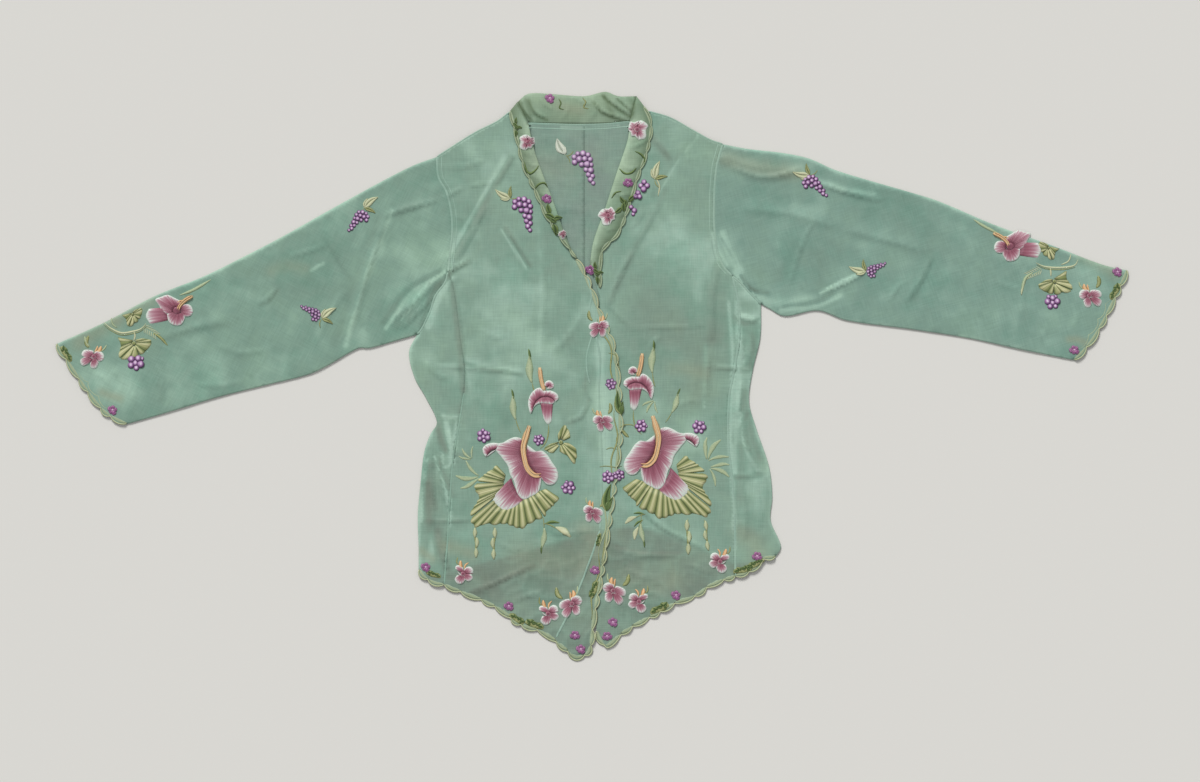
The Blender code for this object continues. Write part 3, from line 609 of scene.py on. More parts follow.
def flat_cloth(loop, step, folded_edges=(), folds=()):
    """The outline filled with triangles: points and faces."""
    points = np.concatenate([loop, net_points(loop, step, folded_edges, folds)])
    border = list(range(len(loop)))
    flat = [Vector(point) for point in points]
    verts, _, faces, _, _, _ = geometry.delaunay_2d_cdt(flat, [], [border], 1, 1e-7)
    used = sorted({index for face in faces for index in face})
    renumber = {index: number for number, index in enumerate(used)}
    return np.array([verts[index] for index in used]), [[renumber[index] for index in face] for face in faces]


print("the net's points lie", round(CLOTH_STEP / MM, 1), "mm apart")

# %% Single and doubled sheets
CLOTH_WALL = 0.3 * MM
FOLD_ROUND = 3 * MM
JOINED_WITHIN = 0.1 * MM
sheets = {}


def finish_mesh(name, verts, faces, flat_points, wall, uv_name):
    """A mesh with its own UV map and a thin wall."""
    mesh = bpy.data.meshes.new(name)
    mesh.from_pydata([tuple(v) for v in verts], [], faces)
    layer = mesh.uv_layers.new(name=uv_name)
    corners = np.empty(len(mesh.loops), int)
    mesh.loops.foreach_get("vertex_index", corners)
    layer.data.foreach_set("uv", np.asarray(flat_points)[corners].ravel())
    made = bpy.data.objects.new(name, mesh)
    bpy.context.scene.collection.objects.link(made)
    bpy.ops.object.select_all(action="DESELECT")
    made.select_set(True)
    bpy.context.view_layer.objects.active = made
    bpy.ops.object.shade_smooth()
    thick = made.modifiers.new("wall", "SOLIDIFY")
    thick.thickness = wall
    thick.offset = -1
    bpy.ops.object.modifier_apply(modifier=thick.name)
    return made


def finish_sheet(name, verts, faces, flat_points):
    """A sheet of cloth, whose UV map is its flat cut in metres."""
    sheets[name] = finish_mesh("cloth_" + name, verts, faces, flat_points, CLOTH_WALL, "cut")
    print(sheets[name].name, len(sheets[name].data.polygons), "faces")


def single_sheet(name, top, folds, step=CLOTH_STEP):
    """A sheet of one leaf, laid at its own height."""
    points, faces = flat_cloth(OUTLINES[name], step, (), folds)
    finish_sheet(name, np.column_stack([points, top(points)]), faces, points)


def lying_middle(points):
    return np.full(len(points), CLOTH)


def lying_low(points):
    return np.full(len(points), 2 * CLOTH_WALL)


def doubled_sheet(name, top, folds, folded_rows, step=CLOTH_STEP, middle_of=lying_middle, low_of=lying_low):
    """Two leaves, joined along the edges where the cloth is folded."""
    folded = [smooth_line(rows) for rows in folded_rows]
    points, faces = flat_cloth(OUTLINES[name], step, folded, folds)
    from_fold = np.min([line_distance(points, edge)[0] for edge in folded], axis=0)
    rounded = np.sqrt(1 - (1 - np.clip(from_fold / FOLD_ROUND, 0, 1)) ** 2)
    middle = middle_of(points)
    upper = middle + (top(points) - middle) * rounded
    lower = middle + (low_of(points) - middle) * rounded
    joined = from_fold < JOINED_WITHIN
    number = len(points) + np.cumsum(~joined) - 1
    below = np.where(joined, np.arange(len(points)), number)
    verts = np.vstack([np.column_stack([points, upper]), np.column_stack([points, lower])[~joined]])
    flat_points = np.vstack([points, points[~joined]])
    faces = faces + [[int(below[index]) for index in reversed(face)] for face in faces]
    finish_sheet(name, verts, faces, flat_points)


print("a sheet is", round(CLOTH_WALL / MM, 1), "mm thick, and a fold is", round(FOLD_ROUND / MM), "mm round")

# %% The back, the fronts, the side panels and the sleeves
single_sheet("back_right", back_top, FOLDS_BACK, BACK_STEP)
single_sheet("back_left", back_top, FOLDS_BACK, BACK_STEP)
single_sheet("front_left", front_left_top, FOLDS_LEFT)
single_sheet("front_right", front_right_top, FOLDS_RIGHT)
doubled_sheet("side_right", double_right_top, FOLDS_RIGHT, [SIDE_RIGHT])
doubled_sheet("side_left", double_left_top, FOLDS_LEFT, [SIDE_LEFT[::-1]])
doubled_sheet("sleeve_right", double_right_top, FOLDS_RIGHT, [SLEEVE_TOP_RIGHT, SLEEVE_UNDER_RIGHT[::-1]])
doubled_sheet("sleeve_left", double_left_top, FOLDS_LEFT, [SLEEVE_UNDER_LEFT, SLEEVE_TOP_LEFT[::-1]])

# %% [markdown]
# ## The rolled bands
# The neck is finished with a band that is folded in two and rolled open: two lapels with a
# scalloped free edge, and the collar at the back, which stands a little and creases where it turns.
# Each is a doubled sheet like the sleeves, thicker at the roll, that lies on the front beneath it.

# %% The creases of the bands, in millimetres
BAND_FOLDS = (
    (-98, 322, -88, 306, -72, 296, 8, 1.4, 0.4), (-93, 296, -82, 292, -74, 280, 7, 1.0, 0.5),
    (-84, 270, -74, 262, -64, 264, 7, 1.1, -0.4), (-78, 252, -66, 246, -58, 238, 7, 1.2, 0.4),
    (-68, 232, -60, 226, -50, 222, 7, 1.2, 0.3), (-58, 208, -48, 200, -40, 190, 6, 1.1, 0.3),
    (-46, 186, -38, 178, -32, 168, 6, 1.1, 0.4), (68, 322, 58, 310, 48, 300, 8, 1.4, 0.5),
    (70, 296, 60, 290, 46, 284, 8, 1.2, -0.4), (36, 262, 48, 258, 62, 264, 7, 1.2, -0.4),
    (24, 232, 36, 226, 52, 230, 7, 1.3, 0.4), (18, 210, 28, 202, 40, 202, 6, 1.2, 0.4),
    (10, 190, 20, 182, 32, 186, 6, 1.2, -0.3), (2, 166, 8, 160, 16, 164, 6, 1.1, 0.3),
    (0, 150, 6, 140, 12, 134, 6, 1.1, -0.3), (-88, 284, -80, 276, -70, 276, 6, 0.9, 0.0),
    (56, 246, 44, 244, 34, 238, 6, 1.0, 0.3),
)
COLLAR_FOLDS = (
    (-92, 346, -88, 336, -78, 322, 6, 2.4, 0.5), (-82, 350, -72, 330, -56, 323, 7, 2.4, -0.5),
    (-66, 350, -60, 340, -48, 332, 7, 1.3, 0.3), (-40, 318, -30, 334, -34, 350, 11, 1.0, 0.3),
    (-6, 318, 4, 330, -2, 346, 11, 0.9, -0.3), (0, 348, 12, 332, 43, 321, 7, 2.6, 0.5),
    (13, 354, 28, 340, 48, 327, 7, 2.6, -0.5), (30, 351, 40, 341, 50, 332, 6, 1.8, 0.4),
    (-24, 350, -12, 342, 4, 340, 8, 0.9, 0.2),
)
print(len(BAND_FOLDS), "creases in the lapels and", len(COLLAR_FOLDS), "in the collar")

# %% How the collar and the lapels stand
BAND_STEP = 2.4 * MM
BAND_FULL = 3.6 * MM
BAND_ROUND = (0.2, 0.72)
BAND_RIPPLE = 0.15 * MM
BAND_MIDDLE = 0.8 * MM
BAND_CLEARANCE = 0.2 * MM
COLLAR_FOOT = 316 * MM
COLLAR_HEIGHT = 36 * MM
COLLAR_SEAM = 1.55 * MM
COLLAR_LOW = 2.7 * MM
COLLAR_HIGH = 1.5 * MM
COLLAR_RISE = 5 * MM
COLLAR_REACH = 24 * MM
COLLAR_TUCK = 3 * MM
COLLAR_DIP = 0.7 * MM


def beneath_right(points):
    return FRONT_LAYER + CLOTH + ripple(points) + BAND_CLEARANCE


def band_middle(points):
    return beneath_right(points) + BAND_MIDDLE


def collar_top(points):
    """Low where it is sewn to the neck, and high and creased where it turns over."""
    across = np.clip((points[:, 1] - COLLAR_FOOT) / COLLAR_HEIGHT, 0, 1)
    turned_over = COLLAR_HIGH * np.sin(math.pi * across) + fold_height(points, COLLAR_FOLDS)
    full = COLLAR_LOW - COLLAR_SEAM + turned_over
    from_seam = line_distance(points, smooth_line(NECK_SEAM))[0]
    return COLLAR_SEAM + full * (1 - np.exp(-from_seam / COLLAR_RISE))


def tucked_collar_top(points):
    """The collar, whose ends dip under the lapels."""
    dip = np.zeros(len(points))
    for end in (COLLAR_END_LEFT, COLLAR_END_RIGHT):
        distance, _, side = line_distance(points, smooth_line(end))
        dip = np.maximum(dip, np.clip(side * distance / (2 * MM) + 0.5, 0, 1))
    return collar_top(points) - COLLAR_DIP * dip


def band_top(points, roll, free, collar_end):
    """Round and full like a loose roll, and as high as the collar where it joins."""
    from_roll = line_distance(points, smooth_line(roll))[0]
    from_free = line_distance(points, smooth_line(free))[0]
    across = from_roll / np.maximum(from_roll + from_free, 1e-6)
    full = BAND_FULL * np.sin(math.pi * (BAND_ROUND[0] + BAND_ROUND[1] * across))
    own = beneath_right(points) + full + fold_height(points, BAND_FOLDS) + ripple(points, BAND_RIPPLE)
    own_share = np.clip(line_distance(points, smooth_line(collar_end))[0] / COLLAR_REACH, 0, 1)
    joined = np.maximum(collar_top(points), band_middle(points))
    return joined * (1 - own_share) + own * own_share


print("the lapels stand", round(BAND_FULL / MM, 1), "mm above the cloth beneath them")


# %% Lay the lapels and the collar
def tucked_end(rows, first, last):
    """An end of the collar, moved out under its lapel but not at the top, where both are seen."""
    line = smooth_line(rows)
    return sideways(line, COLLAR_TUCK * np.linspace(first, last, len(line)))


OUTLINES["lapel_right"] = loop_of(
    lobed(BAND_EDGE_RIGHT, ROLLED_DEPTH), ROLL_RIGHT[::-1], COLLAR_END_RIGHT[::-1]
)
OUTLINES["lapel_left"] = loop_of(
    ROLL_LEFT, BAND_TUCK_LEFT, lobed(BAND_EDGE_LEFT[::-1], ROLLED_DEPTH), COLLAR_END_LEFT[::-1]
)
OUTLINES["collar_back"] = loop_of(
    NECK_SEAM, tucked_end(COLLAR_END_LEFT, 1, 0), COLLAR_TOP[::-1], tucked_end(COLLAR_END_RIGHT, 0, 1)
)


def lapel(name, folded, roll, free, collar_end):
    def top(points):
        return band_top(points, roll, free, collar_end)

    doubled_sheet(name, top, BAND_FOLDS, [folded], BAND_STEP, band_middle, beneath_right)


lapel("lapel_right", ROLL_RIGHT[::-1], ROLL_RIGHT, BAND_EDGE_RIGHT, COLLAR_END_RIGHT)
lapel("lapel_left", ROLL_LEFT, ROLL_LEFT, BAND_EDGE_LEFT, COLLAR_END_LEFT)
doubled_sheet("collar_back", tucked_collar_top, COLLAR_FOLDS, [COLLAR_TOP[::-1]], BAND_STEP)

# %% [markdown]
# ## Cotton voile
# Voile is a plain weave of hard-twisted, very fine yarn, open enough to see through. Here it lies
# on a pale floor and is drawn without glass-like clearness, so what the eye gets from its sheerness
# is put in its colour: one layer is greyer and darker than two, and the turned edges of layers
# beneath are seen as lighter lines. Painted shade and highlights go into the same colour: darker
# along the lapels' free edges and in some creases, lighter on crease crests, the lapels' roll and
# folded edges. A few thick yarns run along and across it. The real yarns lie 0.3 mm apart, too
# fine to show from four metres, so the lines are drawn about eight times coarser.

# %% Strokes of tone for layers, and for painted shade and highlight, in millimetres
LAYER_AND_SHADE_STROKES = (
    # a line through x0, y0, x1, y1, x2, y2; width, and change: some strokes are layers, lighter where a tuck
    # lies double and darker where layers slid apart; the others are painted shade and highlight along
    # creases, folds and the steps where the lapels lie on the collar
    (-204, 20, -176, 8, -160, 4, 26, 0.12), (184, 76, 196, 72, 208, 74, 12, 0.3),
    (179, 74, 192, 65, 208, 72, 6, -0.35), (183, 10, 180, -60, 179, -120, 7, 0.2),
    (195, -45, 187, -62, 206, -120, 6, -0.3), (177, -126, 194, -125, 211, -123, 6, -0.25),
    (146, 10, 173, 9, 201, 9, 5, -0.2), (143, 9, 142, -9, 141, -27, 5, -0.2),
    (156, 138, 148, 100, 148, 45, 12, -0.2), (60, 110, 62, 70, 72, 20, 70, -0.15),
    (110, 60, 134, 33, 140, -20, 60, -0.25), (-120, 100, -90, 60, -70, 10, 80, 0.06),
    (-176, 118, -166, 43, -161, -17, 8, -0.45), (-161, -17, -163, -33, -166, -47, 6, -0.25),
    (-159, 15, -125, 8, -89, 2, 5, -0.25), (-159, 21, -125, 14, -89, 8, 8, 0.12),
    (-169, -98, -160, -98, -150, -98, 5, -0.25), (-209, -181, -180, -181, -154, -181, 5, -0.2),
    (-193, -193, -189, -218, -181, -243, 13, -0.45), (-150, -270, -114, -255, -75, -237, 5, -0.9),
    (-183, 127, -170, 135, -154, 144, 6, -0.3), (-102, 272, -137, 210, -172, 148, 8, -0.3),
    (-109, 274, -144, 212, -178, 152, 5.5, 0.3), (-109, 185, -94, 162, -78, 138, 6, -0.35),
    (-113, 183, -98, 160, -82, 136, 5, 0.3), (77, 298, 87, 288, 95, 277, 6, -0.25),
    (20, 90, 52, 158, 91, 232, 8, -0.2), (160, 268, 207, 254, 260, 250, 9, -0.3),
    (160, 278, 207, 264, 260, 260, 10, 0.18), (278, 245, 312, 234, 352, 228, 8, 0.2),
    (286, 104, 312, 118, 342, 132, 4.5, 0.5), (424, 155, 412, 124, 401, 95, 9, -0.18),
    (-250, 206, -275, 140, -308, 38, 7, 0.3), (-266, 200, -290, 134, -322, 40, 12, -0.2),
    (-257, 198, -224, 214, -190, 227, 7, -0.2), (-244, 60, -212, 89, -190, 118, 9, -0.25),
    (-333, 172, -318, 148, -302, 122, 9, -0.12), (-540, -10, -539, -20, -538, -32, 6, -0.15),
    (-101, 350, -96, 344, -90, 338, 6, -0.5), (-83, 346, -80, 336, -77, 327, 6, -0.4),
    (14, 355, 19, 340, 25, 327, 7, -0.35), (46, 350, 52, 338, 50, 325, 7, -0.4),
    (-66, 180, -64, 100, -66, 30, 9, 0.12), (-54, 185, -50, 152, -36, 132, 22, -0.15),
    (164, 128, 160, 85, 158, 45, 22, -0.16), (163, 172, 171, 156, 179, 140, 5, -0.3),
    (196, 110, 208, 106, 219, 104, 5, -0.4), (190, 104, 230, 92, 278, 98, 12, 0.2),
    (-540, 46, -500, 56, -456, 64, 14, -0.14), (-415, 88, -402, 94, -393, 108, 5, -0.25),
    (170, 92, 175, 28, 172, -86, 5, 0.35), (172, -86, 176, -150, 178, -216, 5, 0.35),
    (181, 92, 183, 40, 181, -60, 6, 0.3), (141, 38, 141, 0, 140, -38, 6, 0.3),
    (-34, -59, -15, -53, -3, -30, 5, -0.2), (-7, 9, -10, -10, -5, -30, 4, -0.2),
    (-64, -184, -46, -193, 6, -189, 5, -0.2), (30, -213, 60, -220, 110, -221, 5, -0.22),
    (62, -170, 90, -193, 146, -222, 4, -0.2), (150, 178, 156, 160, 168, 140, 5, 0.25),
    (184, -90, 186, -120, 184, -150, 10, -0.2), (184, -190, 200, -196, 214, -206, 12, -0.2),
    (-207, -135, -205, -160, -203, -190, 11, -0.5), (9, 40, 11, -28, 15, -86, 11, 0.3),
    (15, -86, 16, -110, 16, -130, 11, 0.25), (-60, 66, -40, 56, -22, 50, 44, -0.22),
    (84, 160, 110, 158, 134, 150, 70, 0.2), (-620, 0, -604, -6, -590, -16, 50, 0.3),
    (-90, 340, -85, 330, -76, 319, 3.4, -0.8), (-79, 345, -71, 327, -56, 320, 3.4, -0.6),
    (1, 343, 12, 329, 43, 318, 3.4, -0.7), (13, 350, 27, 337, 47, 324, 3.4, -0.7),
    (31, 347, 40, 338, 50, 329, 3, -0.5), (-186, -50, -178, -52, -166, -50, 5, 0.4),
    (-182, -58, -178, -84, -175, -108, 6, 0.5), (-170, -56, -172, -80, -174, -108, 4, 0.3),
    (-194, -60, -190, -76, -183, -92, 10, -0.6), (-197, -101, -187, -128, -180, -154, 4, 0.5),
    (-180, -154, -178, -170, -178, -186, 4, 0.45), (-192, -106, -184, -128, -174, -150, 7, -0.3),
    (-204, -112, -203, -136, -196, -164, 9, -0.3), (-206, -104, -211, -146, -213, -180, 4, 0.4),
    (-187, -95, -186, -114, -172, -108, 3, 0.35), (-201, -190, -200, -210, -202, -226, 8, 0.3),
    (186, -46, 190, -84, 206, -118, 5, 0.4), (196, -50, 200, -76, 210, -104, 8, -0.25),
    (182, 60, 185, 40, 188, 18, 5, 0.35), (200, 50, 202, 30, 198, 14, 8, -0.35),
    (190, -20, 188, -36, 184, -50, 8, -0.25), (-66, 268, -52, 262, -40, 268, 16, -0.15),
    (0, 296, 6, 270, 8, 240, 22, -0.2), (-48, 230, -30, 226, -16, 230, 24, 0.15),
    (-179, 126, -198, 106, -213, 64, 6, -0.45), (-175, 122, -191, 100, -205, 62, 6, 0.35),
    (-184, 130, -226, 102, -258, 60, 5, 0.4), (-190, 132, -232, 107, -262, 67, 6, -0.3),
    (-212, 104, -226, 86, -238, 70, 5, 0.35), (-200, -110, -199, -150, -197, -200, 26, -0.2),
    (236, 82, 282, 88, 310, 101, 5, 0.35), (240, 88, 280, 94, 300, 104, 5, -0.2),
    (178, 130, 190, 112, 206, 98, 5, 0.35), (186, 125, 197, 111, 206, 104, 4, -0.45),
    (163, 178, 170, 158, 184, 132, 8, 0.35), (75, 293, 86, 282, 96, 271, 7, -0.3),
    (132, 300, 104, 266, 82, 228, 5, 0.25), (128, 296, 99, 262, 78, 226, 7, -0.2),
    (-351, 132, -344, 137, -336, 141, 5, 0.4), (-94, 344, -87, 331, -81, 318, 3, -0.6),
    (55, 350, 51, 335, 48, 320, 3, -0.6),
)
WARM_STROKES = (
    # where threads and seams beneath the cloth tint it tan
    (168, 272, 210, 262, 256, 254, 22, 0.5), (-640, 42, -620, 55, -598, 66, 22, 0.55),
    (-596, 70, -570, 84, -550, 92, 16, 0.4), (612, 150, 632, 142, 655, 128, 20, 0.55),
    (100, 10, 120, 8, 140, 4, 18, 0.35), (-86, -225, -45, -230, -5, -232, 40, 0.4),
    (-184, -212, -168, -216, -150, -222, 18, 0.55), (-214, -218, -208, -222, -200, -228, 12, 0.6),
    (186, -196, 200, -206, 208, -222, 24, 0.4), (-40, 338, -28, 334, -14, 332, 14, 0.5),
    (-10, -190, 0, -200, 8, -214, 26, 0.4), (-400, 132, -380, 138, -360, 134, 16, 0.35),
    (-612, -20, -602, -24, -590, -28, 12, 0.6), (596, 46, 606, 46, 616, 42, 10, 0.6),
    (40, -250, 70, -262, 100, -256, 30, 0.3), (-66, 268, -40, 262, -10, 268, 40, 0.25),
)
print(len(LAYER_AND_SHADE_STROKES), "strokes of tone and", len(WARM_STROKES), "of tan")

# %% How many layers lie at each point, and where shade and highlights are painted
SINGLE_TONE = 0.2
DOUBLE_TONE = 0.75
HEM_BLUR = 7 * MM
HEM_TONE = 0.2
HEM_WIDTH = 2.4 * MM
OVERLAP_TONE = 0.1
# painted highlight on the crests of small creases
RIDGE_HIGHLIGHT = 0.2
# painted shade along the lapels' free edges and painted highlight along their roll, each a change and a width
# in millimetres
FREE_EDGE_SHADE = (-0.55, 8)
ROLL_HIGHLIGHT = (0.2, 7)
# lighter along folded edges: more layers lie there, and a painted highlight on the turn of the fold
FOLDED_LAYERS_AND_HIGHLIGHT = (0.25, 2.6)
TONE_NOISE = ((70, 31, 0.1), (26, 32, 0.1), (11, 33, 0.06))
FOLDED_EDGES = (
    SIDE_RIGHT, SIDE_LEFT, SLEEVE_TOP_RIGHT, SLEEVE_TOP_LEFT, SLEEVE_UNDER_RIGHT, SLEEVE_UNDER_LEFT
)


def strokes(points, rows):
    """Soft strokes of tone along short lines."""
    change = np.zeros(len(points))
    for row in rows:
        width, strength = row[6:]
        change += strength * np.exp(-(2 * line_distance(points, arc(row))[0] / (width * MM)) ** 2)
    return change


def edge_tone(points, edges, change, width):
    """A change of tone, strongest on the nearest of some edges, that fades over a width in millimetres."""
    nearest = np.min([line_distance(points, smooth_line(rows))[0] for rows in edges], axis=0)
    return change * np.exp(-(nearest / (width * MM)) ** 2)


def tone_of(points, home):
    """0 for one layer, about 0.75 for two, more where more lie together, plus painted shade and highlights.
    """
    tone = np.full(len(points), DOUBLE_TONE)
    if home in ("front", "side"):
        hem = smooth_line(BACK_HEM, 8 * MM)
        above = points[:, 1] - np.interp(points[:, 0], hem[:, 0], hem[:, 1])
        share = np.clip(above / (2 * HEM_BLUR) + 0.5, 0, 1)
        tone = SINGLE_TONE + (DOUBLE_TONE - SINGLE_TONE) * share * share * (3 - 2 * share)
        tone += HEM_TONE * np.exp(-(above / HEM_WIDTH) ** 2)
        overlap = inside(points, OUTLINES["front_left"]) & inside(points, OUTLINES["front_right"])
        tone += OVERLAP_TONE * overlap
        # painted highlight on small creases where the fronts lie single
        tone += RIDGE_HIGHLIGHT * ridges(points) * (1 - share)
    if home == "back":
        # one layer in the open neck, with painted highlight on its small creases
        tone = SINGLE_TONE + RIDGE_HIGHLIGHT * ridges(points)
    if home in ("lapel", "collar"):
        # painted shade along the free edges of the lapels, and painted highlight along their roll
        tone += edge_tone(points, (BAND_EDGE_RIGHT, BAND_EDGE_LEFT), *FREE_EDGE_SHADE)
        tone += edge_tone(points, (ROLL_RIGHT, ROLL_LEFT), *ROLL_HIGHLIGHT)
    if home in ("front", "side", "sleeve"):
        # folded edges: lighter for their layers, with a painted highlight on the fold
        for rows in FOLDED_EDGES:
            tone += edge_tone(points, [rows], *FOLDED_LAYERS_AND_HIGHLIGHT)
    # The strokes add layers, and painted shade and highlight along creases, folds and the collar's steps.
    return np.clip(tone + layered(points, TONE_NOISE) + strokes(points, LAYER_AND_SHADE_STROKES), 0, 1)


for name, made in sheets.items():
    spots = np.empty(len(made.data.vertices) * 3)
    made.data.vertices.foreach_get("co", spots)
    spots = spots.reshape(-1, 3)[:, :2]
    tone = made.data.attributes.new("tone", "FLOAT", "POINT")
    tone.data.foreach_set("value", tone_of(spots, name.split("_")[0]))
    warm = made.data.attributes.new("warm", "FLOAT", "POINT")
    warm.data.foreach_set("value", np.clip(strokes(spots, WARM_STROKES), 0, 1))
print("tones laid on", len(sheets), "sheets")

# %% The voile itself
WEAVE = 2.4 * MM
WEAVE_DEPTH = 0.08 * MM
SLUB = 22 * MM
SLUB_THINNESS = 14
SLUB_RELIEF = 1.5
MOTTLE = 90 * MM
CREASE = 48 * MM
CREASE_DEPTH = 1.0 * MM
BAND_OF_WAVE = 2 * math.pi / 20
MULTIPLY = {"data_type": "RGBA", "blend_type": "MULTIPLY"}
TAN = "959d84"
AGE = ((0.32, "d8e6e3"), (0.5, "efefef"), (0.68, "fbfaf5"))
VOILE_FINISH = {
    "Roughness": 0.6, "IOR": 1.53, "Specular IOR Level": 0.3, "Sheen Weight": 0.08, "Sheen Roughness": 0.4,
}


def voile(name, one_layer, two_layers, more_layers, grain=0.0):
    """Plain weave: a tone for each count of layers, also carrying painted shade and highlights, soft
    mottling, and yarns both ways along the grain.
    """
    made, tree, shader = new_material(name)
    spot = add(tree, "TexCoord").outputs["Object"]
    along = add(tree, "Mapping", _0=spot, Rotation=(0, 0, math.radians(grain))).outputs[0]
    # The tone attribute counts layers and also carries painted shade and highlights.
    layers = add(tree, "Attribute", {"attribute_name": "tone"}).outputs["Fac"]
    tones = ((0.0, one_layer), (DOUBLE_TONE, two_layers), (1.0, more_layers))
    body = add(tree, "ValToRGB", stops=tones, _0=layers).outputs[0]
    warm = add(tree, "Attribute", {"attribute_name": "warm"}).outputs["Fac"]
    body = add(tree, "Mix", {"data_type": "RGBA"}, _0=warm, _6=body, _7=colour(TAN)).outputs[2]
    # Age and handling: some places a little darker and cooler, some lighter and warmer.
    mottle = add(tree, "TexNoise", _0=spot, Scale=1 / MOTTLE, Detail=6.0, Roughness=0.68).outputs[0]
    age = add(tree, "ValToRGB", stops=AGE, _0=mottle).outputs[0]
    # Thick yarns: noise drawn out along the grain one way and then the other.
    lines = []
    for stretch in ((1 / SLUB, SLUB_THINNESS / SLUB, 1), (SLUB_THINNESS / SLUB, 1 / SLUB, 1)):
        drawn = add(tree, "Mapping", _0=along, Scale=stretch).outputs[0]
        lines.append(add(tree, "TexNoise", _0=drawn, Scale=1.0, Detail=2.0).outputs[0])
    yarns = add(tree, "Math", {"operation": "ADD"}, _0=lines[0], _1=lines[1]).outputs[0]
    lightness = add(tree, "MapRange", Value=yarns, _1=0.7, _2=1.3, _3=1.02, _4=1.2).outputs[0]
    for layer in (age, lightness):
        body = add(tree, "Mix", MULTIPLY, _0=1.0, _6=body, _7=layer).outputs[2]
    tree.links.new(body, shader.inputs["Base Color"])
    # The weave itself: two sets of bands that cross.
    waves = []
    for way in ("X", "Y"):
        bands = {"wave_type": "BANDS", "bands_direction": way}
        wave = add(tree, "TexWave", bands, _0=along, Scale=BAND_OF_WAVE / WEAVE, Distortion=0.6, Detail=1.0)
        waves.append(wave.outputs["Fac"])
    woven = add(tree, "Math", {"operation": "ADD"}, _0=waves[0], _1=waves[1]).outputs[0]
    relief = add(tree, "Math", {"operation": "MULTIPLY_ADD"}, _0=yarns, _1=SLUB_RELIEF, _2=woven).outputs[0]
    weave = add(tree, "Bump", Strength=0.2, Distance=WEAVE_DEPTH, Height=relief).outputs[0]
    # Creases too fine for the mesh, left by folding and handling, deeper where the cloth lies single.
    ridged = {"noise_type": "RIDGED_MULTIFRACTAL"}
    fine = add(tree, "TexNoise", ridged, _0=spot, Scale=1 / CREASE, Detail=3.0, Roughness=0.45).outputs[0]
    depth = add(tree, "MapRange", Value=layers, _1=0.2, _2=0.7, _3=0.8, _4=0.45).outputs[0]
    bump = add(tree, "Bump", Strength=depth, Distance=CREASE_DEPTH, Height=fine, Normal=weave)
    tree.links.new(bump.outputs[0], shader.inputs["Normal"])
    for setting, value in VOILE_FINISH.items():
        shader.inputs[setting].default_value = value
    return made


VOILE_BACK = voile("cotton voile back", "82968a", "86a492", "a2c0ae")
VOILE_FRONT = voile("cotton voile fronts", "778476", "86a492", "a2c0ae")
VOILE_BAND = voile("cotton voile bands", "667a5c", "8ca389", "a6bda2")
CLOTHS = {
    # the sheet, or its kind: its material and its record slot
    "back": (VOILE_BACK, "voile_back"),
    "front": (VOILE_FRONT, "voile_front"),
    "side": (VOILE_FRONT, "voile_front"),
    "sleeve_right": (voile("cotton voile right sleeve", "6a7f70", "809f8e", "9cbca8", 27.0), "voile_sleeve"),
    "sleeve_left": (voile("cotton voile left sleeve", "6a7f70", "809f90", "9cbcaa", -17.0), "voile_sleeve"),
    "lapel": (VOILE_BAND, "voile_band"), "collar": (VOILE_BAND, "voile_band"),
}
for name, made in sheets.items():
    material, slot_name = CLOTHS.get(name) or CLOTHS[name.split("_")[0]]
    made.data.materials.append(material)
    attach(made, "root")
    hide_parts(made.name[len("cloth_"):])
print("voile on", len(sheets), "sheets")

# %% [markdown]
# ## Satin stitch
# Every motif is made of fields of satin stitch: threads laid side by side from one edge of a shape
# to the other. So a field is given as two edges. A grid is added and its points are moved between
# the edges, it swells in the middle, and its border dips into the cloth. Its UV map tells the
# thread material how far along the edge and how far along the thread each point is.

# %% A field of stitches
STITCH_STEP = 2.0 * MM
FIELD_STEP = 1.5 * MM
SUNK = -0.15 * MM
MOST_COLUMNS = 400
PLEAT_COLUMNS = 6
CLOSER_ROWS = 1.6
PLEAT_RISE = 0.7
RIM_COLOURS = 0.25


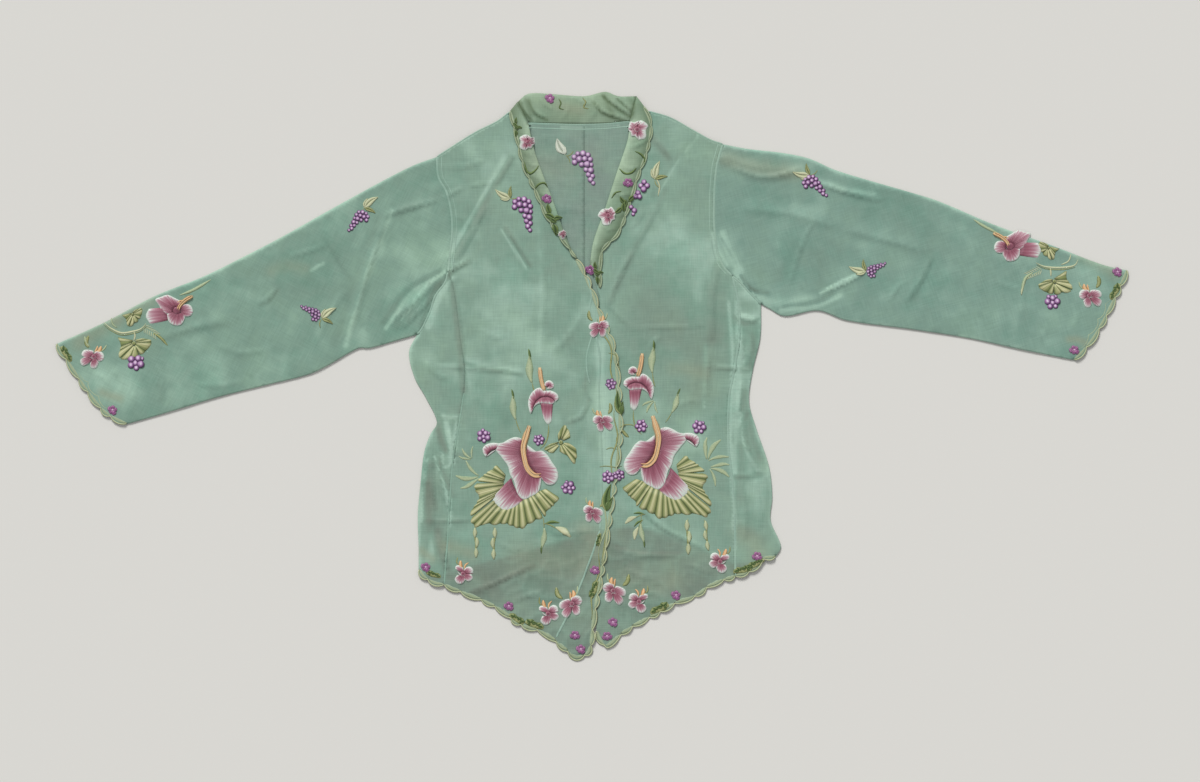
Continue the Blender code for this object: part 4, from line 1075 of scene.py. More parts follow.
def field(thread, first, second, crown=0.5, lift=0.3, rows=5, pleats=0, rim=0.0, root=0.4):
    """Stitches from the first edge to the second, both in millimetres.

    They lie lift millimetres above the cloth, swell by crown in their middle and rise from the root at
    their first edge. A fan has pleats, and a petal has a rim of this many millimetres."""
    lines = [smooth_line(edge, FIELD_STEP) if isinstance(edge, tuple) else edge for edge in (first, second)]
    length = max(walked(line)[-1] for line in lines)
    columns = pleats * PLEAT_COLUMNS if pleats else int(np.clip(round(length / STITCH_STEP), 3, MOST_COLUMNS))
    bpy.ops.mesh.primitive_grid_add(x_subdivisions=columns, y_subdivisions=rows, size=1)
    grid = bpy.context.object
    share = np.empty(len(grid.data.vertices) * 3)
    grid.data.vertices.foreach_get("co", share)
    u, v = share.reshape(-1, 3)[:, 0] + 0.5, share.reshape(-1, 3)[:, 1] + 0.5
    v = 1 - np.clip(1 - v, 0, 1) ** CLOSER_ROWS if root is not None else v
    edges = [line_points(line, u) for line in lines]
    # The pleats of a fan are not all as wide.
    pleated = pleats * u + 0.3 * np.sin(11 * u) * np.sin(math.pi * u)
    pleat = np.abs(np.sin(math.pi * pleated)) if pleats else np.zeros(len(u))
    reach = v * (1 + 0.06 * (pleat - 0.5) * v)
    flat = edges[0] * (1 - reach)[:, None] + edges[1] * reach[:, None]
    swell = crown * np.sqrt(np.clip(4 * v * (1 - v), 0, 1)) + PLEAT_RISE * pleat * v + (root or 0) * (1 - v)
    border = (u < 1e-4) | (u > 1 - 1e-4) | (v > 1 - 1e-4) | ((v < 1e-4) & (root is None))
    height = np.where(border, SUNK, (lift + swell) * MM)
    faces = [tuple(polygon.vertices) for polygon in grid.data.polygons]
    bpy.data.objects.remove(grid)
    corners = flat[np.array(faces[len(faces) // 2])]
    if np.cross(corners[1] - corners[0], corners[2] - corners[0]) < 0:
        faces = [face[::-1] for face in faces]
    tint = v
    if rim:
        # The last quarter of the colours is kept for a rim of even width.
        depth = np.linalg.norm(edges[1] - edges[0], axis=1) / (rim * MM)
        from_rim = (1 - v) * depth
        body = (1 - RIM_COLOURS) * (1 - (from_rim - 1) / np.maximum(depth - 1, 0.01))
        tint = np.clip(np.where(from_rim < 1, 1 - RIM_COLOURS * from_rim, body), 0, 1)
    uv = np.stack([pleated if pleats else u * length, tint], axis=1)
    return thread, flat, height, faces, uv


def strand(thread, path, width, lift=0.3, crown=0.4, taper=(0.3, 0.3), rows=2):
    """A narrow field that follows a path, drawn to a point at its ends."""
    line = smooth_line(path, FIELD_STEP) if isinstance(path, tuple) else path
    place = walked(line) / walked(line)[-1]
    ends = np.minimum(place / max(taper[0], 1e-3), (1 - place) / max(taper[1], 1e-3))
    half = width * MM / 2 * np.clip(ends, 0.12, 1) ** 0.6
    return field(thread, sideways(line, half), sideways(line, -half), crown, lift, rows, root=None)


print("a field has a row of faces every", STITCH_STEP / MM, "mm of its edge")

# %% A bead of stitches
BEAD_CUT = -0.2
BEAD_HEIGHT = 0.4
bpy.ops.mesh.primitive_uv_sphere_add(segments=10, ring_count=6, radius=1)
bead_form = bpy.context.object
bpy.ops.object.mode_set(mode="EDIT")
bpy.ops.mesh.select_all(action="SELECT")
bpy.ops.mesh.bisect(plane_co=(0, 0, BEAD_CUT), plane_no=(0, 0, 1), use_fill=False, clear_inner=True)
bpy.ops.object.mode_set(mode="OBJECT")
BEAD_POINTS = np.array([tuple(vertex.co) for vertex in bead_form.data.vertices])
BEAD_FACES = [tuple(polygon.vertices) for polygon in bead_form.data.polygons]
bpy.data.objects.remove(bead_form)


def bead(thread, x, y, radius, lift=0.2, fade=1.0):
    """A padded berry: a low dome of stitches, with a painted highlight at its top and on its side toward the
    light, and painted shade below.
    """
    flat = (BEAD_POINTS[:, :2] * radius + (x, y)) * MM
    height = (BEAD_POINTS[:, 2] * radius * BEAD_HEIGHT + lift) * MM
    # Painted light: the colour runs from lightest at the top of the dome and on its side toward the light to
    # darkest low on the far side.
    painted_light = BEAD_POINTS[:, 2] ** 3 + 0.45 * BEAD_POINTS[:, 1] - 0.2 * BEAD_POINTS[:, 0]
    shade = fade * (1 - np.clip(painted_light, 0, 1))
    return thread, flat, height, BEAD_FACES, np.stack([flat[:, 0], shade], axis=1)


def beads(thread, rows):
    """Beads from rows of x, y and radius, and lift where it is not the usual one."""
    return [bead(thread, *row) for row in rows]


print("a bead has", len(BEAD_FACES), "faces")

# %% [markdown]
# ## The motifs
# Each motif is drawn once about its own middle, in millimetres, and sewn wherever it repeats,
# mirrored for the other side. The large flower is a lily with a curled hood, a gold spike and a
# pleated fan of a leaf behind it.

# %% Petal, fan and spike
def petal(root, edge, crown, lift, rows, rim):
    return field("rose", root, edge, crown, lift, rows, rim=rim)


def fan(root, edge, crown, lift, pleats):
    return field("fan", root, edge, crown, lift, 4, pleats)


def spike(path, width, lift):
    """A flower's spike: a cream ground with two gold cords on it and a dark groove between them."""
    line = smooth_line(path, FIELD_STEP)
    ground = strand("buff", line, width, lift, 0.4, (0.1, 0.16), 4)
    cords = [
        strand("gold", sideways(line, way * width * 0.2 * MM), width * 0.34, lift + 0.6, 0.7, (0.14, 0.2), 4)
        for way in (1, -1)
    ]
    return [ground] + cords


print("a spike has", len(spike(((0, 0), (0, 30)), 9, 1)), "strands")

# %% The lily and its fan
LILY_THROAT = ((27, -12), (15, -7), (6, 3), (3, 15), (3, 27), (2, 36))
LILY_BACK_THROAT = ((9, 28), (8, 15), (11, 4), (18, -5), (28, -12))
LILY = [
    fan(((-18, -8), (-19, -14), (-22, -20)), ((-29, 4), (-36, -2), (-46, -9), (-54, -17)), 0.3, 0.1, 4),
    fan(((-20, -18), (-22, -26), (-28, -34)), ((-55, -19), (-57, -27), (-51, -34), (-55, -45), (-61, -53),
        (-61, -62)), 0.3, 0.3, 5),
    fan(((-27, -35), (-26, -44), (-19, -48), (-6, -44), (4, -38), (14, -34)), ((-61, -62), (-60, -70),
        (-54, -74), (-43, -70), (-32, -71), (-19, -70), (-6, -74), (2, -76), (10, -71), (19, -66),
        (30, -62)), 0.3, 0.15, 10),
    fan(((13, -35), (24, -29), (33, -26)), ((31, -62), (35, -53), (42, -47), (50, -37)), 0.3, 0.35, 4),
    petal(((-11, -12), (-5, -27), (5, -40)), ((-33, -34), (-35, -42), (-29, -49), (-20, -55), (-6, -49)),
        0.7, 0.3, 7, 12),
    petal(LILY_THROAT, ((27, -12), (26, -22), (23, -31), (14, -37), (4, -41), (-3, -35), (-6, -27),
        (-8, -18), (-13, -9), (-16, 2), (-24, 13), (-33, 25), (-28, 31), (-22, 32), (-15, 36), (-6, 39),
        (2, 37)), 0.8, 0.6, 10, 6.5),
    petal(LILY_BACK_THROAT, ((9, 29), (15, 25), (21, 21), (28, 22), (35, 17), (41, 8), (48, -3), (49, -13),
        (43, -21), (34, -21), (28, -14)), 0.8, 0.7, 9, 6.5),
    petal(((-29, 24), (-36, 21), (-42, 15)), ((-25, 31), (-34, 32), (-42, 30), (-47, 25), (-46, 18),
        (-42, 13)), 0.5, 0.9, 5, 4),
    strand("blush", ((-30, 23), (-36, 19), (-42, 14)), 2.6, 1.0),
] + spike(((28, -9), (18, -9), (10, -2), (6, 10), (4, 26), (8, 41), (12, 53)), 9.5, 1.2)
print("the lily has", len(LILY), "fields")

# %% Bow, knot, calla and trumpet
BOW = [
    fan(((-1, 4), (-3, 1), (-1, -3)), ((-21, 8), (-18, 2), (-17, -5), (-19, -13), (-18, -20)), 0.4, 0.3, 3),
    fan(((-1, -3), (0, -4), (2, -3)), ((-18, -20), (-10, -20), (-4, -17), (2, -18), (7, -15)), 0.4, 0.4, 2),
    fan(((1, -3), (3, 0), (1, 4)), ((7, -15), (14, -11), (19, -5), (22, 3), (12, 6), (3, 5)), 0.4, 0.3, 4),
    bead("straw", 0, 0, 2.6, 0.6),
]
KNOT = [
    fan(((-2, 2), (1, 4), (4, 2)), ((-3, 8), (2, 17), (5, 20), (10, 13), (12, 5)), 0.4, 0.3, 3),
    fan(((-1, 1), (-3, -1), (-1, -4)), ((-10, -1), (-18, -7), (-12, -11), (-7, -12)), 0.4, 0.3, 3),
    fan(((0, -3), (3, -2), (5, 0)), ((-1, -10), (8, -15), (16, -24), (19, -15), (18, -7), (9, 0)), 0.4, 0.3,
        4),
    bead("straw", 1, 0, 2.6, 0.6),
]
CALLA_THROAT = ((-14, -15), (-9, -3), (-2, 3), (6, 4), (15, 0))
CALLA = [
    strand("straw", ((7, -30), (7, -40), (5, -50), (1, -57), (-4, -61)), 2.2, 0.2),
    petal(((-4, -3), (4, -2), (13, -3)), ((1, -25), (6, -32), (11, -28)), 0.6, 0.4, 7, 8),
    petal(CALLA_THROAT, ((-16, -18), (-19, -5), (-17, 5), (-11, 13), (-4, 16), (2, 12), (10, 12), (18, 8),
        (20, 2), (15, -3)), 0.8, 0.7, 8, 3.4),
    petal(CALLA_THROAT, ((-16, -18), (-11, -9), (-5, -5), (3, -5), (11, -6), (15, -3)), 0.6, 0.7, 5, 2.6),
    petal(((6, 16), (8, 18), (9, 20)), ((1, 17), (3, 23), (8, 25), (13, 22), (14, 16), (9, 13), (4, 14)),
        0.6, 0.6, 5, 2.4),
] + spike(((2, 11), (-1, 20), (-3, 30), (-4, 41)), 6.5, 1.2)
TRUMPET = [
    petal(((-14, 6), (-12, -3), (-9, -10)), ((-37, 4), (-41, -6), (-35, -16)), 0.6, 0.3, 7, 4.4),
    petal(((3, 6), (-3, 4), (-6, -2)), ((4, 14), (-4, 18), (-13, 22), (-20, 20), (-29, 16), (-24, 8),
        (-21, 2), (-14, -3)), 0.7, 0.5, 7, 2.8),
    petal(((-6, 0), (0, -2), (6, 0)), ((-14, -1), (-12, -12), (-6, -17), (4, -17), (9, -9), (9, -3)), 0.7,
        0.6, 7, 2.8),
    petal(((3, 5), (4, 1), (4, -2)), ((7, 10), (16, 9), (20, 1), (17, -5), (10, -6), (7, -3)), 0.6, 0.7, 6,
        2.6),
    bead("rose", -1, 2, 5, 0.5, 0.4),
    strand("gold", ((1, 6), (0, 12), (4, 14), (9, 14)), 2.4, 0.9, 0.5, (0.4, 0.3), 3),
] + spike(((0, 1), (3, 8), (10, 15), (19, 20)), 6, 1.3)
print("bow, knot, calla and trumpet have", [len(motif) for motif in (BOW, KNOT, CALLA, TRUMPET)], "fields")

# %% Small flowers and berries
ORCHID = [
    strand("gold", ((-3, 5), (-7, 10), (-9, 16)), 5.5, 0.3, 0.6, rows=4),
    strand("gold", ((0, 6), (-1, 12), (2, 17)), 3),
    strand("straw", ((-9, 9), (-13, 12), (-14, 19)), 2.4, 0.15),
    petal(((-1, 1), (0, 2), (1, 2)), ((-12, 2), (-13, 7), (-8, 10), (-2, 8)), 0.5, 0.4, 5, 3),
    petal(((0, 2), (1, 2), (2, 1)), ((-1, 8), (5, 13), (11, 11), (13, 5)), 0.5, 0.45, 5, 3.4),
    petal(((1, 2), (1, 0), (0, -2)), ((11, 4), (15, -1), (11, -7), (5, -6)), 0.5, 0.55, 5, 3),
    petal(((-1, -2), (0, -1), (1, -1)), ((-7, -4), (-8, -11), (-2, -15), (4, -12), (6, -5)), 0.6, 0.6, 6,
        3),
    bead("rose", 0, 0.5, 3.2, 0.7, 0.75),
    strand("blush", ((-8, 1), (-3, -2), (2, -2), (8, -3)), 1.8, 1.0),
]
BLOSSOM = [
    petal(((0, -2), (0, 0), (0, 3)), ((0, -12), (-9, -10), (-10, -1), (-13, 4), (-7, 10), (-3, 11)), 0.5,
        0.4, 5, 5),
    petal(((0, 3), (1, 2), (2, 0)), ((-3, 11), (4, 9), (7, 11), (10, 5), (11, 0)), 0.5, 0.5, 5, 2),
    petal(((2, 0), (1, -1), (0, -2)), ((11, 1), (8, -3), (8, -7), (4, -7), (0, -12)), 0.6, 0.6, 5, 2.4),
    bead("rose", 0.5, 0.5, 3.4, 0.7, 0.8),
    strand("blush", ((-7, 8), (1, 6), (5, 1), (2, -8)), 1.7, 1.0),
    strand("blush", ((-1, 9), (4, 6), (8, 3)), 1.4, 1.0),
]
SIDE_ORCHID = [
    strand("gold", ((1, 4), (4, 10), (4, 16)), 6, 0.3, 0.6, rows=4),
    strand("gold", ((-1, 5), (0, 10), (0, 15)), 3),
    strand("straw", ((-10, 8), (-15, 14), (-15, 23)), 6, 0.15, rows=4),
    strand("pale", ((6, 9), (9, 14), (10, 20)), 3, 0.15),
    petal(((-1, -1), (-1, 0), (-1, 2)), ((-9, -5), (-16, -3), (-15, 4), (-7, 7), (-2, 7)), 0.5, 0.4, 5, 3),
    petal(((-1, 2), (1, 2), (2, 0)), ((-1, 7), (5, 10), (12, 7), (13, 0), (8, -4)), 0.5, 0.45, 5, 3.4),
    petal(((0, -1), (1, -1), (2, 0)), ((-2, -9), (2, -15), (8, -13), (9, -4)), 0.6, 0.55, 5, 3),
    petal(((-3, 0), (-2, -2), (0, -2)), ((-11, -4), (-15, -10), (-10, -16), (-3, -11)), 0.6, 0.65, 5, 2.4),
    bead("rose", 0, 0.5, 3, 0.7, 0.75),
    strand("blush", ((-9, -3), (-3, -2), (1, -3), (2, -9)), 1.8, 1.0),
]


def rosette_petal(start, reach, lift):
    """A petal that starts at this angle and reaches this far."""
    root, edge = (
        tuple((far * math.cos(start + turn), far * math.sin(start + turn)) for far, turn in spots)
        for spots in (
            ((1.2, 0), (1.2, 0.55), (1.2, 1.1)),
            ((3.6, -0.25), (reach, 0.05), (reach + 0.6, 0.55), (reach, 1.05), (3.6, 1.35)),
        )
    )
    return field("mauve", root, edge, 0.6, lift, 4)


ROSETTE = [
    rosette_petal(*row)
    for row in ((0.9, 6.6, 0.3), (2.2, 7.6, 0.45), (3.4, 6.4, 0.3), (4.6, 7.8, 0.45), (5.9, 6.6, 0.35))
] + [bead("mauve", 0, 0, 1.7, 0.9, 0.1)]
BERRIES = beads("violet", (
    (-4.6, -3.4, 3.5), (0.8, -6.2, 3.0), (5.2, -2.4, 3.8, 0.85), (-4.2, 2.8, 4.0), (2.8, 3.4, 3.5, 0.8),
    (-0.2, -1.2, 3.3), (-0.8, 7, 2.6), (6.4, 3.2, 2.2),
))
GRAPES = beads("violet", (
    (-10, 16, 3.6), (-5, 19.6, 3.3), (1.6, 19, 4.2), (7.6, 16.4, 3.4), (-10.4, 9.6, 3.9),
    (-4, 12.6, 4.3, 0.85), (2.8, 12, 3.8, 0.9), (9.4, 10.4, 3.6), (-2.2, 5.6, 3.7), (4.6, 5, 4.4, 0.8),
    (9.6, 3.6, 3.2), (2.6, -1.4, 3.5), (8.2, -3.2, 4.1, 0.9), (4.6, -8, 3.6), (9.4, -10.6, 3.3),
    (6.2, -14.6, 3.7), (9, -19.4, 2.9),
))
HALF_BUNCH = beads("violet", (
    (5, 19.5, 3.6), (9, 15, 3.7), (1, 15, 3.5), (4.5, 10.5, 4, 0.85), (-2.5, 6, 3.6), (-5.5, 1.5, 3.4),
    (-0.6, 1.2, 3.5, 0.85), (-11, -12, 3.2), (-7, -16, 3.6), (-8.5, -20.5, 2.6),
))
# The bunch on the back has faded paler than those on the front.
FADED_GRAPES = [("lilac",) + part[1:] for part in GRAPES]
print(len(BERRIES), "berries,", len(GRAPES), "grapes and", len(ROSETTE), "fields in a rosette")

# %% Turn a motif, and gather leaflets
def leaflet(thread, length, width, lift=0.3, bend=0.12):
    """Half a leaf on either side of a midrib that starts at the origin and runs along x."""
    tip = (length, length * bend * 0.6)
    rib = ((0, 0), (length * 0.5, length * bend), tip)
    sides = []
    for way in (1, -1):
        shoulder = (length * 0.3, way * width * 0.5 + length * bend * 0.7)
        waist = (length * 0.7, way * width * 0.32 + length * bend)
        sides.append(field(thread, rib, ((0, 0), shoulder, waist, tip), 0.5, lift, 3))
    return sides


def turned(motif, turn, x=0.0, y=0.0, size=1.0, mirror=1):
    """A motif turned by degrees, sized and moved by millimetres."""
    angle = math.radians(turn)
    spin = np.array([[math.cos(angle), math.sin(angle)], [-math.sin(angle), math.cos(angle)]])
    made = []
    for thread, flat, height, faces, uv in motif:
        flat = (flat * (size * mirror, size)) @ spin + np.array((x, y)) * MM
        made.append((thread, flat, height, [face[::-1] for face in faces] if mirror < 0 else faces, uv))
    return made


def cluster(thread, leaves, lift=0.3):
    """Leaflets about one point, from rows of turn, length and width."""
    made = []
    for turn, length, width in leaves:
        made += turned(leaflet(thread, length, width, lift), turn)
    return made


print("a leaflet has", len(leaflet("leaf", 10, 5)), "fields")

# %% Leaves, buds and drops
SPRIG = [
    field("straw", ((-14, -4), (-4, -6), (5, -5), (14, -3)), ((-13, 3), (-6, 6), (0, 4), (7, 6), (14, 2)),
          0.2, 0.25, 4, root=None),
]
SPRIG += turned(cluster("leaf", ((15, 9, 6), (75, 6, 5), (150, 9, 6), (205, 6, 4)), 0.4), 0, -5, -0.5)
SPRIG += turned(cluster("leaf", ((5, 8, 5), (60, 6, 5), (120, 6, 4)), 0.4), 0, 5, -1)
FEATHER = [strand("pale", ((0, 0), (12, 2), (26, 0)), 1.5, 0.1, 0.3, (0.3, 0.6))] + [
    strand("cream", ((x, 0.6), (x + 3, way * 4), (x + 6, way * (7 - 0.14 * x))), 1.5, 0.15, 0.3, (0.3, 0.6))
    for x in range(1, 22, 3) for way in (1, -1)
]
VINE_LEAF = cluster("cream", ((0, 27, 11), (32, 16, 6))) + cluster("straw", ((-62, 19, 7),)) + [
    strand("straw", ((0, 0), (-6, -4), (-9, -11)), 2, 0.2),
]
WHITE_LEAF = cluster("white", ((0, 27, 15), (-30, 12, 7))) + [
    strand("straw", ((0, 0), (-7, -3), (-16, -2)), 1.8, 0.2),
    strand("straw", ((-3, -1), (-3, -8), (1, -14)), 1.8, 0.2),
]
THICKET = []
for place in ((20, -6, -2, 1), (150, -3, 2, 0.9), (60, 2, 1, 0.8), (-30, 5, -1, 1), (190, 6, 2, 0.8)):
    THICKET += turned(leaflet("leaf", 11, 6, 0.4), *place)
BLADE = cluster("straw", ((14, 21, 7),)) + cluster("leaf", ((0, 30, 9), (-15, 17, 7)), 0.6)
BUD = [
    strand("straw", ((6, -18), (3, -9), (1, 2)), 1.8, 0.15),
    strand("pale", ((1, 0), (-1, 12), (0, 24), (1, 33)), 12, 0.15, 0.4, (0.6, 0.6), 6),
    strand("leaf", ((1, 26), (1, 32), (0, 41)), 3.6, 0.5),
]
SPRAY = [
    strand("pale", path, width, 0.1, 0.3, (0.6, 0.5), 5)
    for width, path in (
        (7, ((2, 0), (10, 3), (18, 4), (27, 2))),
        (6, ((1, 1), (8, 8), (14, 13), (20, 15))),
        (5, ((1, -1), (7, -4), (13, -9), (18, -16))),
    )
]
LENS = [
    strand("straw", ((0, 0), (8, 1), (17, 0)), 1.8, 0.15),
    strand("cream", ((14, 1), (24, 1), (34, -3)), 8.5, 0.15, 0.4, (0.5, 0.5), 5),
    strand("leaf", ((2, 0), (9, 5), (17, 7)), 4.5, 0.15, 0.4, (0.5, 0.5), 3),
]
DROPS = [strand("straw", ((0, 0), (-1, -12), (0, -24), (0, -40)), 2.8, 0.2)] + [
    strand("cord", ((x, y), (x + 0.5, y - 6), (x, y - 13)), 6.8, 0.6, 0.6, (0.5, 0.5), 4)
    for x, y in ((-1.5, -2), (1, -14), (0, -27))
]
print("sprig", len(SPRIG), "feather", len(FEATHER), "spray", len(SPRAY), "drops", len(DROPS), "fields")

# %% [markdown]
# ## Sewing the motifs on
# A motif is laid on whatever cloth is uppermost beneath it: a ray is dropped at every point, as the
# embroiderer's hoop would hold the cloth flat there. The fields of one thread in one area become
# one piece, with a thin wall so that the stitches are a closed shape.

# %% Find the uppermost cloth, and sew
STITCH_WALL = 0.25 * MM
DROP_FROM = 0.05
BESIDE = [(x * MM, y * MM) for x, y in ((0, 0), (1.2, 0), (-1.2, 0), (0, 1.2), (0, -1.2))]
sewn = {}


def surface_of(objects):
    """One tree of faces, to drop rays on."""
    points, faces = [], []
    for made in objects:
        start = len(points)
        points += [tuple(vertex.co) for vertex in made.data.vertices]
        faces += [[index + start for index in polygon.vertices] for polygon in made.data.polygons]
    return BVHTree.FromPolygons(points, faces)


SURFACE = surface_of(sheets.values())


def lying(flat):
    """The height of the uppermost cloth at and beside each point, or of the nearest beyond its edge."""
    heights = np.full(len(flat), -1.0)
    for move_x, move_y in BESIDE:
        for index, (x, y) in enumerate(flat):
            hit = SURFACE.ray_cast(Vector((x + move_x, y + move_y, DROP_FROM)), Vector((0, 0, -1)))[0]
            if hit:
                heights[index] = max(heights[index], hit.z)
    for index in np.flatnonzero(heights < 0):
        heights[index] = SURFACE.find_nearest(Vector((*flat[index], 3 * MM)))[0].z
    return heights


def sew(region, motif, x=0.0, y=0.0, turn=0.0, size=1.0, mirror=1):
    for part in turned(motif, turn, x, y, size, mirror):
        sewn.setdefault((region, part[0]), []).append(part[1:])


def make_stitching(region, thread, parts):
    """One piece from the fields of one thread, laid on the cloth."""
    flat, height, uv = (np.concatenate([part[kind] for part in parts]) for kind in (0, 1, 3))
    faces, start = [], 0
    for part in parts:
        faces += [[index + start for index in face] for face in part[2]]
        start += len(part[0])
    verts = np.column_stack([flat, lying(flat) + height])
    return finish_mesh(f"stitch_{region}_{thread}", verts, faces, uv, STITCH_WALL, "thread")


print("the collar stands", round(lying([(0.0, 0.34)])[0] / MM, 1), "mm above the floor")

# %% Where the flowers are, in millimetres
FLOWERS = (
    # region, motif, x, y, turn, size and mirror; the last ones are left out where they are 0, 1 and 1
    ("front", LILY, -90.3, -114.6), ("front", LILY, 87.2, -102.1, 0, 1, -1), ("front", CALLA, -61.6, -29.6),
    ("front", CALLA, 58.5, -12.1, 0, 1, -1), ("front", KNOT, -40.3, -82.7, 0, 1.12),
    ("front", SIDE_ORCHID, 9.7, 61.7, 0, 0.9), ("front", SIDE_ORCHID, 12.2, -55.9, 10, 0.9, -1),
    ("front", SIDE_ORCHID, -0.3, -169.6, -5, 0.9, -1), ("hem", ORCHID, -161.6, -247.1, -20, 0.95),
    ("hem", ORCHID, -55.3, -297.1, -10), ("hem", SIDE_ORCHID, -25.3, -284.6, 10, 1.05),
    ("hem", SIDE_ORCHID, 26, -268.4, -10, 1.05, -1), ("hem", ORCHID, 58.5, -282.1, 10, 1, -1),
    ("hem", ORCHID, 159.7, -232.1, 5, 1, -1), ("cuff_right", TRUMPET, -517.8, 80.4),
    ("cuff_left", TRUMPET, 521, 160.4, 4, 1, -1), ("cuff_right", BOW, -572.3, 41.2),
    ("cuff_left", BOW, 577.3, 118.4, 22, 0.95, -1), ("cuff_right", SIDE_ORCHID, -622.8, 24.2, -20),
    ("cuff_left", SIDE_ORCHID, 621, 100.4, 10, 1, -1), ("cuff_right", BOW, -574.1, 77.4, 25, 0.62),
    ("cuff_left", BOW, 570.2, 160.4, -25, 0.62, -1), ("lapel", BLOSSOM, -81, 291.5, -15, 0.9),
    ("lapel", BLOSSOM, 56.5, 307.5, 5, 1.12, -1), ("lapel", BLOSSOM, 19.7, 200, 15),
    ("lapel", BLOSSOM, -36.5, 177, 30, 0.5),
)
print(len(FLOWERS), "flowers")

# %% Where the berries, rosettes and bunches are, in millimetres
BERRY_SPOTS = (
    # region, x, y, turn, size
    ("front", -135.7, -74.6, 0, 1), ("front", -66.6, -79.6, 40, 0.8), ("front", -29.7, -139, 80, 1),
    ("front", 61, -62.1, -30, 0.9), ("front", 133.5, -63.4, 20, 1), ("front", 19.7, -125.9, 0, 0.9),
    ("front", 33.5, -123.4, 60, 0.8), ("front", 23.5, -9.6, 160, 0.8),
    ("cuff_right", -570.3, 17.9, 0, 1.25), ("cuff_left", 574.7, 93, 30, 1.1),
)
ROSETTE_SPOTS = (
    ("hem", -207.8, -238.4, 0), ("hem", -104.1, -287.1, 20), ("hem", -21.6, -323.4, 40),
    ("hem", -14.1, -340.9, 10), ("hem", 3.5, -242.1, 30), ("hem", 26, -307.1, 15),
    ("hem", 18.5, -324.6, 50), ("hem", 104.7, -273.4, 0), ("hem", 206, -224.6, 35),
    ("cuff_right", -599.1, -42.1, 0), ("cuff_left", 656, 130.4, 10), ("cuff_left", 602.2, 32.9, 30),
    ("lapel", -56.6, 221.7, 20), ("lapel", 44.7, 241.7, 40), ("lapel", -2.8, 132.9, 0),
    ("lapel", -52.8, 347.2, 0),
)
BUNCHES = (
    # region, x, y, turn, size, mirror, leaf x, leaf y, leaf turn
    ("front", -86.6, 201.7, 0, 1, 1, -102, 222, 145), ("neck", -10.3, 259.2, 8, 1, 1, -34, 277, 112),
    ("sleeve_right", -292, 192, -26, 0.72, -1, -285, 210, 34),
    ("sleeve_right", -353, 79, -105, 0.62, -1, -338, 72, 32),
    ("sleeve_left", 278, 235, 33, 0.8, 1, 272, 251, 165),
    ("sleeve_left", 356, 133, 105, 0.6, 1, 342, 131, 160),
)
print(len(BERRY_SPOTS), "berries,", len(ROSETTE_SPOTS), "rosettes,", len(BUNCHES), "bunches")

# %% Where the leaves are, in millimetres
GREENERY = (
    ("front", BUD, -96.6, -54.6, 6, 0.95), ("front", BUD, -76.6, -8.4, 4, 1.05),
    ("front", HALF_BUNCH, 59.7, 222.9), ("front", VINE_LEAF, 78, 246, 70, 0.9),
    ("front", SPRAY, -140, -126, 172, 1.15), ("front", SPRAY, -150, -104, 128, 0.7),
    ("front", LENS, -61.6, -183.4, -22, 1.15), ("front", BUD, -59.1, -189.6, 172, 0.8),
    ("front", BUD, 74, 4, -4), ("front", BUD, 100, -46, -18, 0.8, -1),
    ("front", SPRAY, 78, -30, 62, 0.7, -1), ("front", SPRAY, 143, -106, 52, 1.2),
    ("front", SPRAY, 146, -114, -30, 1.05), ("front", LENS, 67, -172, 20, 0.85, -1),
    ("front", LENS, 64, -178, 62, 0.85, -1), ("front", BUD, 60, -184, 190, 0.75, -1),
    ("front", DROPS, -145.3, -187.1), ("front", DROPS, -122.8, -187.1, 0, 1.05, -1),
    ("front", DROPS, 119.7, -177.1, 0, 1.15), ("front", DROPS, 139.7, -178.4, 8, 1, -1),
    ("front", BLADE, 36.9, -48.4, 95, 1.05), ("front", BLADE, 17.7, -168.9, 76, 1.2),
    ("hem", SPRIG, -198, -247.5, -20, 0.7), ("hem", SPRIG, -94, -303, -30, 0.8, -1),
    ("hem", SPRIG, -72, -310, -22, 0.9), ("hem", SPRIG, 2, -266, 68, 0.85),
    ("hem", SPRIG, 84, -290, 28, 0.95, -1), ("hem", SPRIG, 188, -241.5, 14, 0.9, -1),
    ("hem", SPRIG, 204, -234, 26, 0.85), ("hem", SPRIG, 8, -204, 76, 0.6),
    ("cuff_right", SPRIG, -657, 28, -58, 0.85), ("cuff_right", FEATHER, -561, 62, -33, 0.95),
    ("cuff_left", SPRIG, 653, 106, 62, 0.85, -1), ("cuff_left", FEATHER, 562, 134, 204, 0.95),
    ("lapel", THICKET, -96, 312, -70, 0.85), ("lapel", THICKET, -52, 197, -52, 1.45),
    ("lapel", THICKET, 41, 213, 62, 1.25), ("lapel", THICKET, 4, 130, -60, 1.0),
)
print(len(GREENERY), "leaves, buds and drops")

